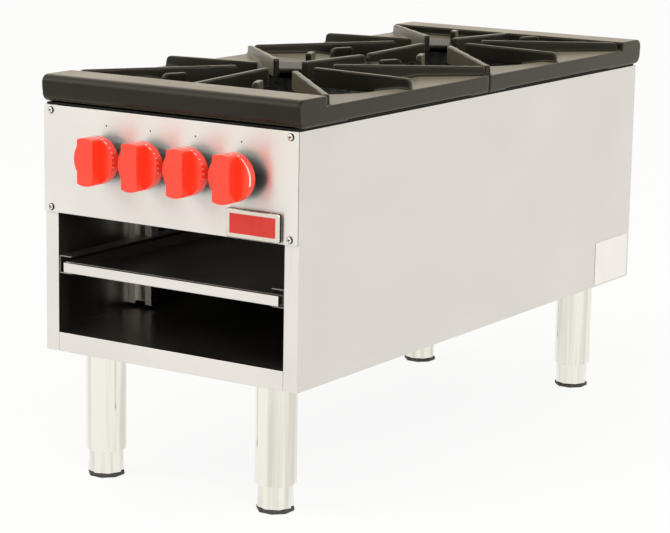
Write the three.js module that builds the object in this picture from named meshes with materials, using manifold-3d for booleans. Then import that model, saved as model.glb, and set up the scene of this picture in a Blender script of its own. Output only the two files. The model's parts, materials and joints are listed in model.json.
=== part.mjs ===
// Two-section stock pot range: a stainless cabinet on four adjustable legs, with two lift-off cast-iron
// grates in a row from front to back, a three-ring burner under each, four valves behind the control
// panel and a drip tray that slides out above the open storage bay.
// Millimetres, +Z up. The control panel faces -Y, +X is to the right seen from the front, and the origin
// is on the floor under the centre of the whole range.

import * as THREE from 'three';
import { mergeVertices } from 'three/addons/utils/BufferGeometryUtils.js';
import Module from 'manifold-3d';

const wasm = await Module();
wasm.setup();

// ---------------------------------------------------------------- driving dimensions

const bodyWidth = 453;          // cabinet, outside of the side panels
const bodyDepth = 1040;         // cabinet, control panel face to rear flange
const bodyHeight = 371;         // cabinet, bottom of the rail to the top flange
const legClear = 195;           // floor to the bottom of the cabinet
const sheet = 1.5;              // cabinet sheet steel
const seat = 0.3;               // gap that stands between two seated pieces

const flangeWidth = 23.5;       // front and rear flanges of the side panels
const flangeReturn = 22;        // inner edge of the front flanges, folded back beside the bay
const ledgeWidth = 14.5;        // inward flange along the bottom of the side panels
const railHeight = 29;          // front rail below the storage bay
const panelHeight = 160;        // control panel
const panelReturn = 12;         // folded-back edges of the control panel
const panelHem = 20;            // sides of the control panel, folded flat behind it
const panelCorner = 3;          // radius of its lower corners
const screwInset = 13.1;        // corner screws of the control panel, from its edges
const screwDrop = 7.8;
const screwHole = 2.3;          // radius of the screw holes
const slotWidth = 52;           // vent slots of the back panel
const slotHeight = 7;
const slotDrop = 60;            // top of the cabinet to the first row of slots

const grateOverhang = 2;        // grates beyond each side of the cabinet
const frontOverhang = 4.5;      // noses beyond the front and the rear of the cabinet
const rearOverhang = 13.5;
const grateRise = 44;           // flat rim of the grates above the cabinet
const grateGap = 2;             // gap at the joint between the grates
const rimDepth = 72;            // rim of a grate, inner wall to nose
const rimLean = 3.5;            // lower edge of the nose, behind its front
const noseRadius = 12;          // round upper edge of the nose
const noseUnder = 14;           // and its lower edge
const burnerOffset = 2.25;      // burner centre, from the middle of the well towards the joint
const deckDrop = 14.2;          // rim top down to the flat deck between the fingers
const dishDrop = 21;            // rim top down to the edge of the burner opening
const castingWall = 8;          // wall of the cast rim
const deckThickness = 7;        // casting at the edge of the burner opening
const railDrop = 39;            // rim top down to the bottom edge of the side rails
const railWall = 10;            // side and joint rails of the grate
const padLength = 52;           // low ends of the side rails, which rest on the top frame
const burnerOpening = 165;      // radius of the opening round the burner
const dishRadius = 205;         // radius where the deck starts to fall
const fingerThickness = 9;      // pot support fingers
const fingerDepth = 24;         // rim top down to the underside of a finger
const fingerRise = 5.3;         // inner ends of the fingers above the rim top
const sideFingerRise = 2.2;     // outer ends of the side fingers above the rim top
const fingerInner = 53.5;       // inner ends of the side and corner fingers lie on a square
const fingerInnerY = 49;        // inner ends of the fingers along the range
const fingerMargin = 4.5;       // outer ends of the fingers from the edge of the casting
const lugLength = 39;           // small pot lugs beside the front and rear fingers
const lugClear = 12;            // inner end of a lug from the burner opening
const lugRise = 3;              // lugs above the rim top
const lugAngle = 22.5;          // degrees from the line along the range

const frameSheet = 3;           // black top frame under the grates
const frameMargin = 3;          // its outer edge inside the cabinet
const frameBorder = 24;         // its side strips
const frameLip = 8;             // upturned lip round each burner well
const lipClear = 5.5;           // lip to the walls of the grate
const channelHeight = 30;       // cross channel under the joint of the grates

const knobPitch = 80;
const knobCentreX = 10.2;       // middle of the row of knobs
const knobDrop = 69.7;          // knob axis below the top of the cabinet
const knobRadius = 35.4;
const knobBack = 14;            // panel face to the back of the knob
const knobFloor = 31.5;         // panel face to the finger recess
const knobFront = 50.5;         // panel face to the front of the grip
const knobWall = 3;             // moulding thickness
const knobHub = 8;              // radius of the hub inside
const gripHalf = 14.3;          // half width of the grip bar
const stemRadius = 3;
const stemInKnob = 16;
const stemInValve = 12;
const indexHoleRise = 47.4;     // small index hole above each knob's axis

const runnerBottom = 119;       // tray runners, above the bottom of the cabinet
const runnerHeight = 27;
const runnerFlange = 22.3;
const runnerShort = 25;         // rear end of the runners before the back of the cabinet
const bracketLength = 20;
const trayClear = 4.9;          // tray to the runner's web, each side
const trayShort = 85;           // the tray is this much shorter than the cabinet
const trayWall = 15.5;          // height of the tray's walls
const traySheet = 1.2;
const trayLipHeight = 15;
const trayLipShort = 3;         // the lip ends this far inside the tray's sides
const trayLipDepth = 8;
const traySetback = 3;          // lip behind the face of the control panel

const uprightWidth = 42.7;      // lipped channel beside the storage bay
const uprightDepth = 20;
const uprightBack = 17;         // its middle behind the middle of the burner bar that it carries
const uprightFoot = 8;          // its lower end above the bay floor
const uprightLip = 11.5;

const burnerRings = [[22, 40], [62, 80], [108, 128]];   // inner and outer radius of each ring
const burnerDrop = 18;          // top of the burners below the top of the cabinet
const ringHeight = 26;
const portChamfer = 4;          // sloped port faces of the rings
const barThickness = 4;
const barWidth = 30;
const barFromCentre = 104;      // burner centre to each support bar
const barDrop = 61.3;           // top of the support bars below the top of the cabinet
const footFromCentre = 58;      // burner feet on the bars, to each side
const venturiDrop = 13;         // knob axis down to the gas outlet
const venturiRadius = 14;
const venturiWall = 4;
const venturiBell = 5;          // flare of the mouth
const throatDepth = 32;         // mouth to the narrowest part
const mouthFromPanel = 68;      // mouth of the front venturis behind the control panel
const hoodGap = 4;              // gas orifice to the venturi mouth

const pipeRadius = 13.4;        // 3/4 inch gas pipe
const pipeBore = 10.5;
const pipeBend = 15;
const manifoldDrop = 50;        // knob axis down to the manifold
const manifoldFromPanel = 33;
const manifoldEnd = 21.3;       // manifold beyond the outer valves
const inletStub = 10;           // pipe end behind the cabinet
const valveWidth = 26;
const valveFromPanel = 16;
const hoodLength = 16;          // brass hood between the valve and the venturi
const orificeRadius = 5;        // orifice and nut that the rear burner's tubes end in
const nutRadius = 8;
const nutLength = 6;
const tubeRadius = 5;           // supply tubes to the rear burner
const tubeBend = 18;
const tubeShift = 40;           // run in which a tube crosses to its orifice
const pilotRadius = 3;
const pilotBend = 14;
const pilotOffset = 26;         // pilot tip before the outer ring
const pilotBelow = 18;          // and below the top of the burner
const shieldFromPanel = 120;    // valve heat shield behind the control panel
const shieldRise = 6;           // its lower edge above that of the control panel

const legInset = 70.4;          // leg centres inside the cabinet's sides
const frontLegInset = 57.3;
const rearLegInset = 62.4;
const legRadius = 30.8;
const legWall = 4.5;
const footVisible = 35;         // adjustable foot below the leg tube
const footInside = 55;          // its shank inside the tube
const footFlats = 16;           // eight-sided lower end for a spanner
const padRadius = 28.4;
const padHeight = 6;
const socketSize = 84;
const socketThickness = 3;
const socketCollar = 26;

const badgeWidth = 91.5;
const badgeHeight = 41.5;
const badgeThickness = 6.5;
const badgeBevel = 3;
const badgeFrame = 6.5;         // width of its bright frame
const badgeInset = 26.5;        // badge from the right edge of the control panel
const badgeRise = 1.8;          // and from its lower edge
const labelWidth = 119;
const labelHeight = 74;
const labelInset = 7.5;         // label from the rear edge of the right side
const labelRise = 3;            // and from its lower edge

const fine = 24;                // facets of a large round piece
const coarse = 12;              // facets of a small round piece

// ---------------------------------------------------------------- levels and places

const bodyBottom = legClear;
const bodyTop = legClear + bodyHeight;
const grateTop = bodyTop + grateRise;
const frontY = -bodyDepth / 2;
const rearY = bodyDepth / 2;
const sideX = bodyWidth / 2;
const flangeFace = frontY + 2 * sheet + seat;
const behindFlange = flangeFace + sheet + seat;
const innerWall = sideX - sheet;
const flangeInner = sideX - flangeWidth;
const panelBottom = bodyTop - panelHeight;
const panFloor = bodyBottom + railHeight;
const backFace = rearY - sheet - seat;
const underTop = bodyTop - sheet - seat;
const knobZ = bodyTop - knobDrop;
const outletZ = knobZ - venturiDrop;
const manifoldZ = knobZ - manifoldDrop;
const manifoldY = frontY + manifoldFromPanel;
const burnerTop = bodyTop - burnerDrop;
const barTop = bodyTop - barDrop;
const knobX = [-1.5, -0.5, 0.5, 1.5].map((step) => knobCentreX + step * knobPitch);
const orificeX = [knobX[1], knobX[2]];
const grateWidth = bodyWidth + 2 * grateOverhang;
const grateLength = (bodyDepth + frontOverhang + rearOverhang - grateGap) / 2;
const grateToJoint = (grateLength - rimDepth) / 2 - burnerOffset;
const grateToRim = (grateLength - rimDepth) / 2 + burnerOffset;
const grateToNose = grateToRim + rimDepth;
const frontBurnerY = frontY - frontOverhang + grateToNose;
const rearBurnerY = rearY + rearOverhang - grateToNose;
const jointY = (frontBurnerY + rearBurnerY) / 2;
const venturiMouth = frontBurnerY - frontY - mouthFromPanel;
const frameTop = bodyTop + seat + frameSheet;
const grateDrop = grateTop - frameTop - seat;
const runnerFace = flangeInner - seat;
const runnerZ = bodyBottom + runnerBottom;
const runnerTop = runnerZ + runnerHeight;
const runnerScrewY = flangeFace + flangeReturn / 2;
const runnerScrewZ = runnerZ + runnerHeight / 2;
const runnerRear = rearY - runnerShort;
const trayHalfWidth = runnerFace - sheet - trayClear;
const uprightOuter = innerWall - seat;
const uprightInner = uprightOuter - uprightWidth;
const uprightY = frontBurnerY - barFromCentre + uprightBack;
const inletX = uprightInner - pipeRadius - 2 * seat;
const middleY = (knobFront - rearOverhang) / 2;

// ---------------------------------------------------------------- materials

function steel(color, roughness) {
  return new THREE.MeshStandardMaterial({ color, roughness, metalness: 1 });
}

function paint(color, roughness) {
  return new THREE.MeshStandardMaterial({ color, roughness, metalness: 0 });
}

const brushedSteel = steel(0xd8d4cf, 0.35);
const innerSteel = steel(0x9a9894, 0.3);
const polishedSteel = steel(0xe2ddd2, 0.15);
const galvanised = steel(0xa9acae, 0.5);
const brass = steel(0xb8924a, 0.35);
const castIron = new THREE.MeshStandardMaterial({ color: 0x3a3733, roughness: 0.55, metalness: 0.2 });
const blackEnamel = paint(0x1c1b1a, 0.5);
const redPhenolic = paint(0xff3c1e, 0.25);
const whiteLabel = paint(0xf2f1ee, 0.5);
const blackRubber = paint(0x33312f, 0.8);

// ---------------------------------------------------------------- shapes and solids

// An outline through points [x, y] or [x, y, radius]; a radius rounds that corner.
function outline(points, steps = 4) {
  const vertices = [];
  points.forEach(([x, y, radius = 0], i) => {
    const corner = new THREE.Vector2(x, y);
    if (radius === 0) {
      vertices.push(corner);
      return;
    }
    const [px, py] = points[(i + points.length - 1) % points.length];
    const [nx, ny] = points[(i + 1) % points.length];
    const back = new THREE.Vector2(px, py).sub(corner).normalize();
    const ahead = new THREE.Vector2(nx, ny).sub(corner).normalize();
    const half = Math.acos(THREE.MathUtils.clamp(back.dot(ahead), -1, 1)) / 2;
    const start = corner.clone().addScaledVector(back, radius / Math.tan(half));
    const end = corner.clone().addScaledVector(ahead, radius / Math.tan(half));
    const bisector = back.clone().add(ahead).normalize();
    const centre = corner.clone().addScaledVector(bisector, radius / Math.sin(half));
    const from = start.clone().sub(centre).angle();
    let turn = end.clone().sub(centre).angle() - from;
    turn = Math.atan2(Math.sin(turn), Math.cos(turn));
    for (let k = 0; k <= steps; k += 1) {
      const angle = from + (turn * k) / steps;
      vertices.push(new THREE.Vector2(Math.cos(angle), Math.sin(angle)).multiplyScalar(radius).add(centre));
    }
  });
  return new THREE.Shape(vertices);
}

function rectangle(x0, x1, y0, y1) {
  return outline([[x0, y0], [x1, y0], [x1, y1], [x0, y1]]);
}

function circle(x, y, radius, facets = coarse) {
  const points = [];
  for (let k = 0; k < facets; k += 1) {
    const angle = (2 * Math.PI * (k + 0.5)) / facets;
    points.push(new THREE.Vector2(x + radius * Math.cos(angle), y + radius * Math.sin(angle)));
  }
  return new THREE.Shape(points);
}

function extrude(shape, depth) {
  return new THREE.ExtrudeGeometry(shape, { depth, bevelEnabled: false, curveSegments: coarse });
}

// A shape drawn in X and Y, standing between two heights.
function alongZ(shape, z0, z1) {
  return extrude(shape, z1 - z0).translate(0, 0, z0);
}

// A shape drawn in Y and Z, running from x0 to x1.
function alongX(shape, x0, x1) {
  const turn = new THREE.Matrix4().set(0, 0, 1, x0, 1, 0, 0, 0, 0, 1, 0, 0, 0, 0, 0, 1);
  return extrude(shape, x1 - x0).applyMatrix4(turn);
}

// A shape drawn in X and Z, running from y0 to y1.
function alongY(shape, y0, y1) {
  const turn = new THREE.Matrix4().set(1, 0, 0, 0, 0, 0, -1, y1, 0, 1, 0, 0, 0, 0, 0, 1);
  return extrude(shape, y1 - y0).applyMatrix4(turn);
}

function block(x0, x1, y0, y1, z0, z1) {
  return new THREE.BoxGeometry(x1 - x0, y1 - y0, z1 - z0)
    .translate((x0 + x1) / 2, (y0 + y1) / 2, (z0 + z1) / 2);
}

// A profile of [radius, height] points turned about Z; facets meet X on a flat, not on a corner.
function revolve(profile, facets = fine) {
  const points = profile.map(([radius, height]) => new THREE.Vector2(radius, height));
  return new THREE.LatheGeometry(points, facets, Math.PI / facets).rotateX(Math.PI / 2);
}

// A path whose stations are taken as they stand, so straight runs stay single segments.
class Route extends THREE.Curve {
  constructor(stations) {
    super();
    this.stations = stations;
  }

  getPoint(t, target = new THREE.Vector3()) {
    const last = this.stations.length - 1;
    const i = Math.min(Math.floor(t * last + 1e-6), last - 1);
    return target.lerpVectors(this.stations[i], this.stations[i + 1], t * last - i);
  }

  getPointAt(u, target) {
    return this.getPoint(u, target);
  }

  getTangentAt(u, target = new THREE.Vector3()) {
    const last = this.stations.length - 1;
    const i = Math.round(u * last);
    const before = this.stations[Math.max(i - 1, 0)];
    const after = this.stations[Math.min(i + 1, last)];
    return target.subVectors(after, before).normalize();
  }
}

// A pipe or tube that follows a list of points, with its bends rounded.
function tubeAlong(points, radius, bend, facets, bore = 0) {
  const corners = points.map((point) => new THREE.Vector3(...point));
  const stations = [corners[0]];
  for (let i = 1; i < corners.length - 1; i += 1) {
    const into = corners[i].clone().sub(corners[i - 1]).normalize();
    const out = corners[i + 1].clone().sub(corners[i]).normalize();
    const before = corners[i].clone().addScaledVector(into, -bend);
    const after = corners[i].clone().addScaledVector(out, bend);
    stations.push(...new THREE.QuadraticBezierCurve3(before, corners[i], after).getPoints(4));
  }
  stations.push(corners[corners.length - 1]);
  const section = circle(0, 0, radius, facets);
  if (bore > 0) {
    section.holes.push(circle(0, 0, bore, facets));
  }
  return new THREE.ExtrudeGeometry(section, {
    extrudePath: new Route(stations), steps: stations.length - 1, bevelEnabled: false,
  });
}

function signedVolume(positions, triangles) {
  const a = new THREE.Vector3();
  const b = new THREE.Vector3();
  const c = new THREE.Vector3();
  let volume = 0;
  for (let i = 0; i < triangles.length; i += 3) {
    a.fromArray(positions, triangles[i] * 3);
    b.fromArray(positions, triangles[i + 1] * 3);
    c.fromArray(positions, triangles[i + 2] * 3);
    volume += a.dot(b.cross(c)) / 6;
  }
  return volume;
}

// A geometry as a closed solid: shared vertices merged, slivers dropped, faces pointing out.
function solid(geometry) {
  const bare = geometry.clone();
  bare.deleteAttribute('normal');
  bare.deleteAttribute('uv');
  const merged = mergeVertices(bare, 1e-3);
  const index = merged.getIndex().array;
  const triangles = [];
  for (let i = 0; i < index.length; i += 3) {
    const [a, b, c] = [index[i], index[i + 1], index[i + 2]];
    if (a !== b && b !== c && c !== a) {
      triangles.push(a, b, c);
    }
  }
  const positions = merged.getAttribute('position').array;
  if (signedVolume(positions, triangles) < 0) {
    triangles.reverse();
  }
  const mesh = new wasm.Mesh({
    numProp: 3,
    vertProperties: new Float32Array(positions),
    triVerts: new Uint32Array(triangles),
  });
  return new wasm.Manifold(mesh);
}

function join(...geometries) {
  return geometries.map(solid).reduce((whole, piece) => whole.add(piece));
}

function cut(body, ...geometries) {
  return geometries.map(solid).reduce((rest, piece) => rest.subtract(piece), body);
}

// A flat sheet with holes through it; along is one of the three functions that place a shape.
function pierced(along, face, from, to, holes) {
  return cut(solid(along(face, from, to)), ...holes.map((hole) => along(hole, from - 1, to + 1)));
}

function geometryOf(manifold) {
  const mesh = manifold.getMesh();
  const geometry = new THREE.BufferGeometry();
  geometry.setAttribute('position', new THREE.BufferAttribute(new Float32Array(mesh.vertProperties), 3));
  geometry.setIndex(new THREE.BufferAttribute(new Uint32Array(mesh.triVerts), 1));
  geometry.computeVertexNormals();
  return geometry;
}

const range = new THREE.Group();
range.position.y = middleY;

function add(name, manifold, material, x = 0, y = 0, z = 0, turn = 0) {
  const mesh = new THREE.Mesh(geometryOf(manifold), material);
  mesh.name = name;
  mesh.position.set(x, y, z);
  mesh.rotation.z = turn;
  range.add(mesh);
  return mesh;
}

// ---------------------------------------------------------------- cabinet

const panelScrewX = sideX - screwInset;
const panelScrewZ = [bodyTop - screwDrop, panelBottom + screwDrop];

// One side: web, front flange with its return, rear flange, and inward flanges at the top and the bottom.
function sidePanel(side) {
  const plan = outline([
    [sideX, flangeFace], [sideX, rearY], [flangeInner, rearY], [flangeInner, rearY - sheet],
    [innerWall, rearY - sheet], [innerWall, flangeFace + sheet],
    [flangeInner, flangeFace + sheet], [flangeInner, flangeFace],
  ]);
  const ledge = [flangeInner, sideX - sheet / 2, flangeFace + sheet / 2, rearY - sheet / 2];
  const fold = [flangeInner, flangeInner + sheet, flangeFace + sheet / 2, flangeFace + flangeReturn];
  const panel = join(
    alongZ(plan, bodyBottom, bodyTop),
    block(...fold, panFloor + seat, bodyTop - sheet / 2),
    block(...ledge, bodyTop - sheet, bodyTop),
    block(sideX - ledgeWidth, sideX - sheet / 2, ledge[2], ledge[3], bodyBottom, bodyBottom + sheet),
  );
  const finished = cut(
    panel,
    ...panelScrewZ.map((z) => alongY(circle(panelScrewX, z, screwHole, 8), frontY, frontY + 10)),
    alongX(circle(runnerScrewY, runnerScrewZ, screwHole, 8), flangeInner - 5, flangeInner + 5),
  );
  return side > 0 ? finished : finished.mirror([1, 0, 0]);
}

add('left_side_panel', sidePanel(-1), brushedSteel);
add('right_side_panel', sidePanel(1), brushedSteel);

function backPanel() {
  const half = innerWall - seat;
  const top = underTop;
  const low = panFloor + seat;
  const holes = [circle(inletX, manifoldZ, pipeRadius + 2.6, 16)];
  for (let row = 0; row < 3; row += 1) {
    for (const step of [-2.2, -0.75, 0.75, 2.2]) {
      const z = bodyTop - slotDrop - row * 3 * slotHeight;
      const x = step * slotWidth;
      holes.push(rectangle(x - slotWidth / 2, x + slotWidth / 2, z - slotHeight, z));
    }
  }
  const plate = pierced(alongY, rectangle(-half, half, low, top), backFace - sheet, backFace, holes);
  const foot = block(-half, half, backFace - panelReturn, backFace - sheet / 2, low, low + sheet);
  const head = block(-half, half, backFace - panelReturn, backFace - sheet / 2, top - sheet, top);
  return plate.add(join(foot, head));
}

add('back_panel', backPanel(), galvanised);

function controlPanel() {
  const face = outline([
    [-sideX, panelBottom, panelCorner], [sideX, panelBottom, panelCorner],
    [sideX, bodyTop], [-sideX, bodyTop],
  ], 3);
  const holes = [];
  for (const x of knobX) {
    holes.push(circle(x, knobZ, stemRadius + 2.5));
    holes.push(circle(x, knobZ + indexHoleRise, 1.4, 6));
  }
  const fold = [-flangeInner + seat, flangeInner - seat, frontY + sheet / 2, frontY + panelReturn];
  const hem = [frontY + sheet / 2, frontY + 2 * sheet, panelBottom + panelCorner, bodyTop];
  const panel = pierced(alongY, face, frontY, frontY + sheet, holes).add(join(
    block(...fold, panelBottom, panelBottom + sheet),
    block(...fold, bodyTop - sheet, bodyTop),
    block(-sideX, -sideX + panelHem, ...hem),
    block(sideX - panelHem, sideX, ...hem),
  ));
  const screws = panelScrewZ.flatMap((z) => [-panelScrewX, panelScrewX].map(
    (x) => alongY(circle(x, z, screwHole, 8), frontY - 1, flangeFace),
  ));
  return cut(panel, ...screws);
}

add('control_panel', controlPanel(), brushedSteel);

// Floor of the storage bay, folded down at the front rail, at the rear and along both sides.
function bottomPan() {
  const half = innerWall - seat;
  const railHalf = flangeInner - seat;
  const rear = backFace;
  const floor = outline([
    [-half, behindFlange], [-railHalf, behindFlange], [-railHalf, flangeFace + sheet / 2],
    [railHalf, flangeFace + sheet / 2], [railHalf, behindFlange], [half, behindFlange],
    [half, rear], [-half, rear],
  ]);
  const skirt = outline([
    [-half, behindFlange], [-half + sheet, behindFlange], [-half + sheet, rear - sheet],
    [half - sheet, rear - sheet], [half - sheet, behindFlange], [half, behindFlange],
    [half, rear], [-half, rear],
  ]);
  return join(
    alongZ(floor, panFloor - sheet, panFloor),
    alongZ(skirt, bodyBottom + sheet + seat, panFloor - sheet / 2),
    block(-railHalf, railHalf, flangeFace, flangeFace + sheet, bodyBottom, panFloor),
  );
}

add('bottom_pan', bottomPan(), innerSteel);

// Black frame under both grates, with an upturned lip round each burner well.
const wellHalfWidth = sideX - frameMargin - frameBorder;
const lipToRim = grateToRim - lipClear - sheet;
const frontWell = [frontBurnerY - lipToRim, jointY - frameBorder];
const rearWell = [jointY + frameBorder, rearBurnerY + lipToRim];

function topFrame() {
  const outerX = sideX - frameMargin;
  const plan = rectangle(-outerX, outerX, frontY + frameMargin, rearY - frameMargin);
  const pieces = [alongZ(plan, frameTop - frameSheet, frameTop)];
  const wells = [];
  for (const [y0, y1] of [frontWell, rearWell]) {
    const w = wellHalfWidth + sheet;
    pieces.push(block(-w, w, y0 - sheet, y1 + sheet, frameTop - frameSheet / 2, frameTop + frameLip));
    wells.push(block(-wellHalfWidth, wellHalfWidth, y0, y1, bodyTop, frameTop + frameLip + 1));
  }
  return cut(join(...pieces), ...wells);
}

add('top_frame', topFrame(), blackEnamel);

// Channel across the cabinet under the joint, with a tab that holds the rear burner's orifices.
const rearMouthY = rearBurnerY - venturiMouth;
const tabY = rearMouthY - hoodGap - 2 * nutLength;

function crossChannel() {
  const half = innerWall - seat;
  const low = underTop - channelHeight;
  const front = jointY - frameBorder;
  const rear = jointY + frameBorder;
  const section = outline([
    [front, underTop], [front, low], [front + sheet, low], [front + sheet, underTop - sheet],
    [rear - sheet, underTop - sheet], [rear - sheet, low], [rear, low], [rear, underTop],
  ]);
  const margin = nutRadius + 10;
  const tab = rectangle(
    orificeX[0] - margin, orificeX[1] + margin, outletZ - nutRadius - 6, underTop - sheet / 2,
  );
  const holes = orificeX.map((x) => circle(x, outletZ, orificeRadius + seat));
  return pierced(alongY, tab, tabY, tabY + sheet, holes).add(join(alongX(section, -half, half)));
}

add('cross_channel', crossChannel(), galvanised);

// ---------------------------------------------------------------- tray, runners and uprights

function runner(side) {
  const tip = runnerFace - runnerFlange;
  const channel = outline([
    [runnerFace, runnerZ], [runnerFace, runnerTop], [tip, runnerTop], [tip, runnerTop - sheet],
    [runnerFace - sheet, runnerTop - sheet], [runnerFace - sheet, runnerZ + sheet],
    [tip, runnerZ + sheet], [tip, runnerZ],
  ]);
  const pieces = [alongY(channel, behindFlange, runnerRear)];
  const wall = innerWall - seat;
  for (const y of [flangeFace + flangeReturn + seat, jointY, runnerRear - bracketLength - sheet]) {
    const end = y + bracketLength;
    const bracket = outline([
      [runnerFace - sheet / 2, y], [wall, y], [wall, end], [wall - sheet, end],
      [wall - sheet, y + sheet], [runnerFace + sheet, y + sheet], [runnerFace + sheet, end],
      [runnerFace - sheet / 2, end],
    ]);
    pieces.push(alongZ(bracket, runnerZ + 2 * sheet, runnerTop - 2 * sheet));
  }
  const channelBody = cut(
    join(...pieces),
    alongX(circle(runnerScrewY, runnerScrewZ, screwHole, 8), runnerFace - 5, runnerFace + 5),
  );
  return side > 0 ? channelBody : channelBody.mirror([1, 0, 0]);
}

add('left_tray_runner', runner(-1), innerSteel);
add('right_tray_runner', runner(1), innerSteel);

// Shallow pan with a folded lip in front of its front wall.
const trayFloor = runnerZ + sheet + seat;
const trayFront = frontY + traySetback;

function dripTray() {
  const wallY = trayFront + trayLipDepth;
  const rear = trayFront + bodyDepth - trayShort;
  const w = trayHalfWidth;
  const pan = solid(block(-w, w, wallY, rear, trayFloor, trayFloor + trayWall));
  const hollow = block(
    -w + traySheet, w - traySheet, wallY + traySheet, rear - traySheet,
    trayFloor + traySheet, trayFloor + trayWall + 1,
  );
  const lipShape = outline([
    [trayFront, trayFloor, 1.5], [wallY + traySheet / 2, trayFloor],
    [wallY + traySheet / 2, trayFloor + traySheet],
    [trayFront + traySheet, trayFloor + traySheet], [trayFront + traySheet, trayFloor + trayLipHeight],
    [trayFront, trayFloor + trayLipHeight],
  ]);
  const lip = alongX(lipShape, -w + trayLipShort, w - trayLipShort);
  return cut(pan, hollow).add(solid(lip));
}

add('drip_tray', dripTray(), innerSteel);

// Lipped channel on the side wall, up to the front burner bar and notched round the tray runner.
const barZ = barTop - barThickness;

function upright(side) {
  const front = uprightY - uprightDepth / 2;
  const back = uprightY + uprightDepth / 2;
  const plan = outline([
    [uprightInner, front], [uprightInner + uprightLip, front], [uprightInner + uprightLip, front + sheet],
    [uprightInner + sheet, front + sheet], [uprightInner + sheet, back - sheet],
    [uprightOuter - sheet, back - sheet], [uprightOuter - sheet, front + sheet],
    [uprightOuter - uprightLip, front + sheet], [uprightOuter - uprightLip, front],
    [uprightOuter, front], [uprightOuter, back], [uprightInner, back],
  ]);
  const post = solid(alongZ(plan, panFloor + uprightFoot, barZ - seat));
  const notch = block(
    uprightInner - 1, runnerFace + 2 * seat, front - 1, back + 1, runnerZ - seat, runnerTop + seat,
  );
  const finished = cut(post, notch);
  return side > 0 ? finished : finished.mirror([1, 0, 0]);
}

add('left_upright', upright(-1), innerSteel);
add('right_upright', upright(1), innerSteel);

// ---------------------------------------------------------------- grates

// A pot support finger or lug, standing along +X before it is turned to its place.
function finger(inner, outer, innerTop, outerTop, angle, corner = 8) {
  const profile = outline([
    [inner, -fingerDepth], [outer, -fingerDepth], [outer, outerTop, corner], [inner, innerTop, 1.5],
  ], 3);
  const half = fingerThickness / 2;
  return alongY(profile, -half, half).rotateZ(THREE.MathUtils.degToRad(angle));
}

// One casting, with its burner centre at the origin, its rim towards -Y and Z = 0 on the flat rim.
function grateCasting() {
  const half = grateWidth / 2;
  const deckBottom = -dishDrop - deckThickness;
  const deck = solid(block(-half, half, -grateToRim - 1, grateToJoint, -railDrop, -deckDrop));
  const pocket = block(
    -half + railWall, half - railWall, -grateToRim - 2, grateToJoint - railWall, -railDrop - 1, deckBottom,
  );
  const rim = outline([
    [-grateToRim, -grateDrop], [-grateToRim, 0, 2], [-grateToNose, 0, noseRadius],
    [-grateToNose + rimLean, -grateDrop, noseUnder],
  ], 5);
  const wall = castingWall;
  const rimPocket = outline([
    [-grateToRim - wall, -grateDrop - 1], [-grateToRim - wall, -wall], [-grateToNose + wall, -wall, 4],
    [-grateToNose + rimLean + wall, -grateDrop - 1],
  ]);
  const dish = revolve([
    [0, -railDrop - 1], [burnerOpening, -railDrop - 1], [burnerOpening, -dishDrop],
    [dishRadius, -deckDrop], [dishRadius, 1], [0, 1],
  ], 48);
  const frame = cut(deck, pocket, dish)
    .add(solid(alongX(rim, -half, half)))
    .subtract(solid(alongX(rimPocket, -half + railWall, half - railWall)));
  const padEnds = [[-grateToRim - 1, -grateToRim + padLength], [grateToJoint - padLength, grateToJoint]];
  const pads = padEnds.flatMap(([y0, y1]) => [[-half, -half + railWall], [half - railWall, half]].map(
    ([x0, x1]) => block(x0, x1, y0, y1, -grateDrop, -railDrop + 1),
  ));
  const sideOuter = half - fingerMargin;
  const cornerOuter = (Math.min(half, grateToJoint) - fingerMargin) * Math.SQRT2;
  const fingers = [
    finger(fingerInner, sideOuter, fingerRise, sideFingerRise, 0),
    finger(fingerInner, sideOuter, fingerRise, sideFingerRise, 180),
    finger(fingerInnerY, grateToJoint - fingerMargin, fingerRise, sideFingerRise, 90),
    finger(fingerInnerY, grateToRim + 1, fingerRise, 0, 270, 0),
  ];
  for (const angle of [45, 135, 225, 315]) {
    fingers.push(finger(fingerInner * Math.SQRT2, cornerOuter, fingerRise, 0, angle, 6));
  }
  const lugInner = burnerOpening + lugClear;
  for (const angle of [90 - lugAngle, 90 + lugAngle, 270 - lugAngle, 270 + lugAngle]) {
    fingers.push(finger(lugInner, lugInner + lugLength, lugRise, lugRise, angle));
  }
  return [...pads, ...fingers].reduce((casting, piece) => casting.add(solid(piece)), frame);
}

const casting = grateCasting();
add('front_grate', casting, castIron, 0, frontBurnerY, grateTop);
add('rear_grate', casting, castIron, 0, rearBurnerY, grateTop, Math.PI);

// ---------------------------------------------------------------- burners

// A ring of the burner: a casting with sloped shoulders below its flat row of ports.
function burnerRing([inner, outer]) {
  const low = burnerTop - ringHeight;
  const shoulder = burnerTop - 2 * portChamfer;
  return revolve([
    [inner, low], [outer, low], [outer, shoulder], [outer - portChamfer, burnerTop],
    [inner + portChamfer, burnerTop], [inner, shoulder], [inner, low],
  ]);
}

// Gas and air tube along Y: a bell mouth at the front, a throat, and a riser up into its ring.
function venturi(x, riserY) {
  const length = venturiMouth + riserY;
  const throat = length - throatDepth;
  const r = venturiRadius;
  const tube = revolve([
    [0, 0], [r, 0], [r, throat - 14], [r - 2.5, throat], [r + venturiBell, length],
    [r + venturiBell - 3, length], [r - 5.5, throat], [r - venturiWall, throat - 14],
    [r - venturiWall, r + venturiWall], [0, r + venturiWall],
  ], 16).rotateX(Math.PI / 2).translate(x, riserY, outletZ);
  const riserBottom = outletZ - venturiRadius + 2;
  const riser = revolve([
    [0, riserBottom], [venturiRadius, riserBottom], [venturiRadius, burnerTop - ringHeight + 2],
    [0, burnerTop - ringHeight + 2],
  ], 16).translate(x, riserY, 0);
  return [tube, riser];
}

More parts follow.
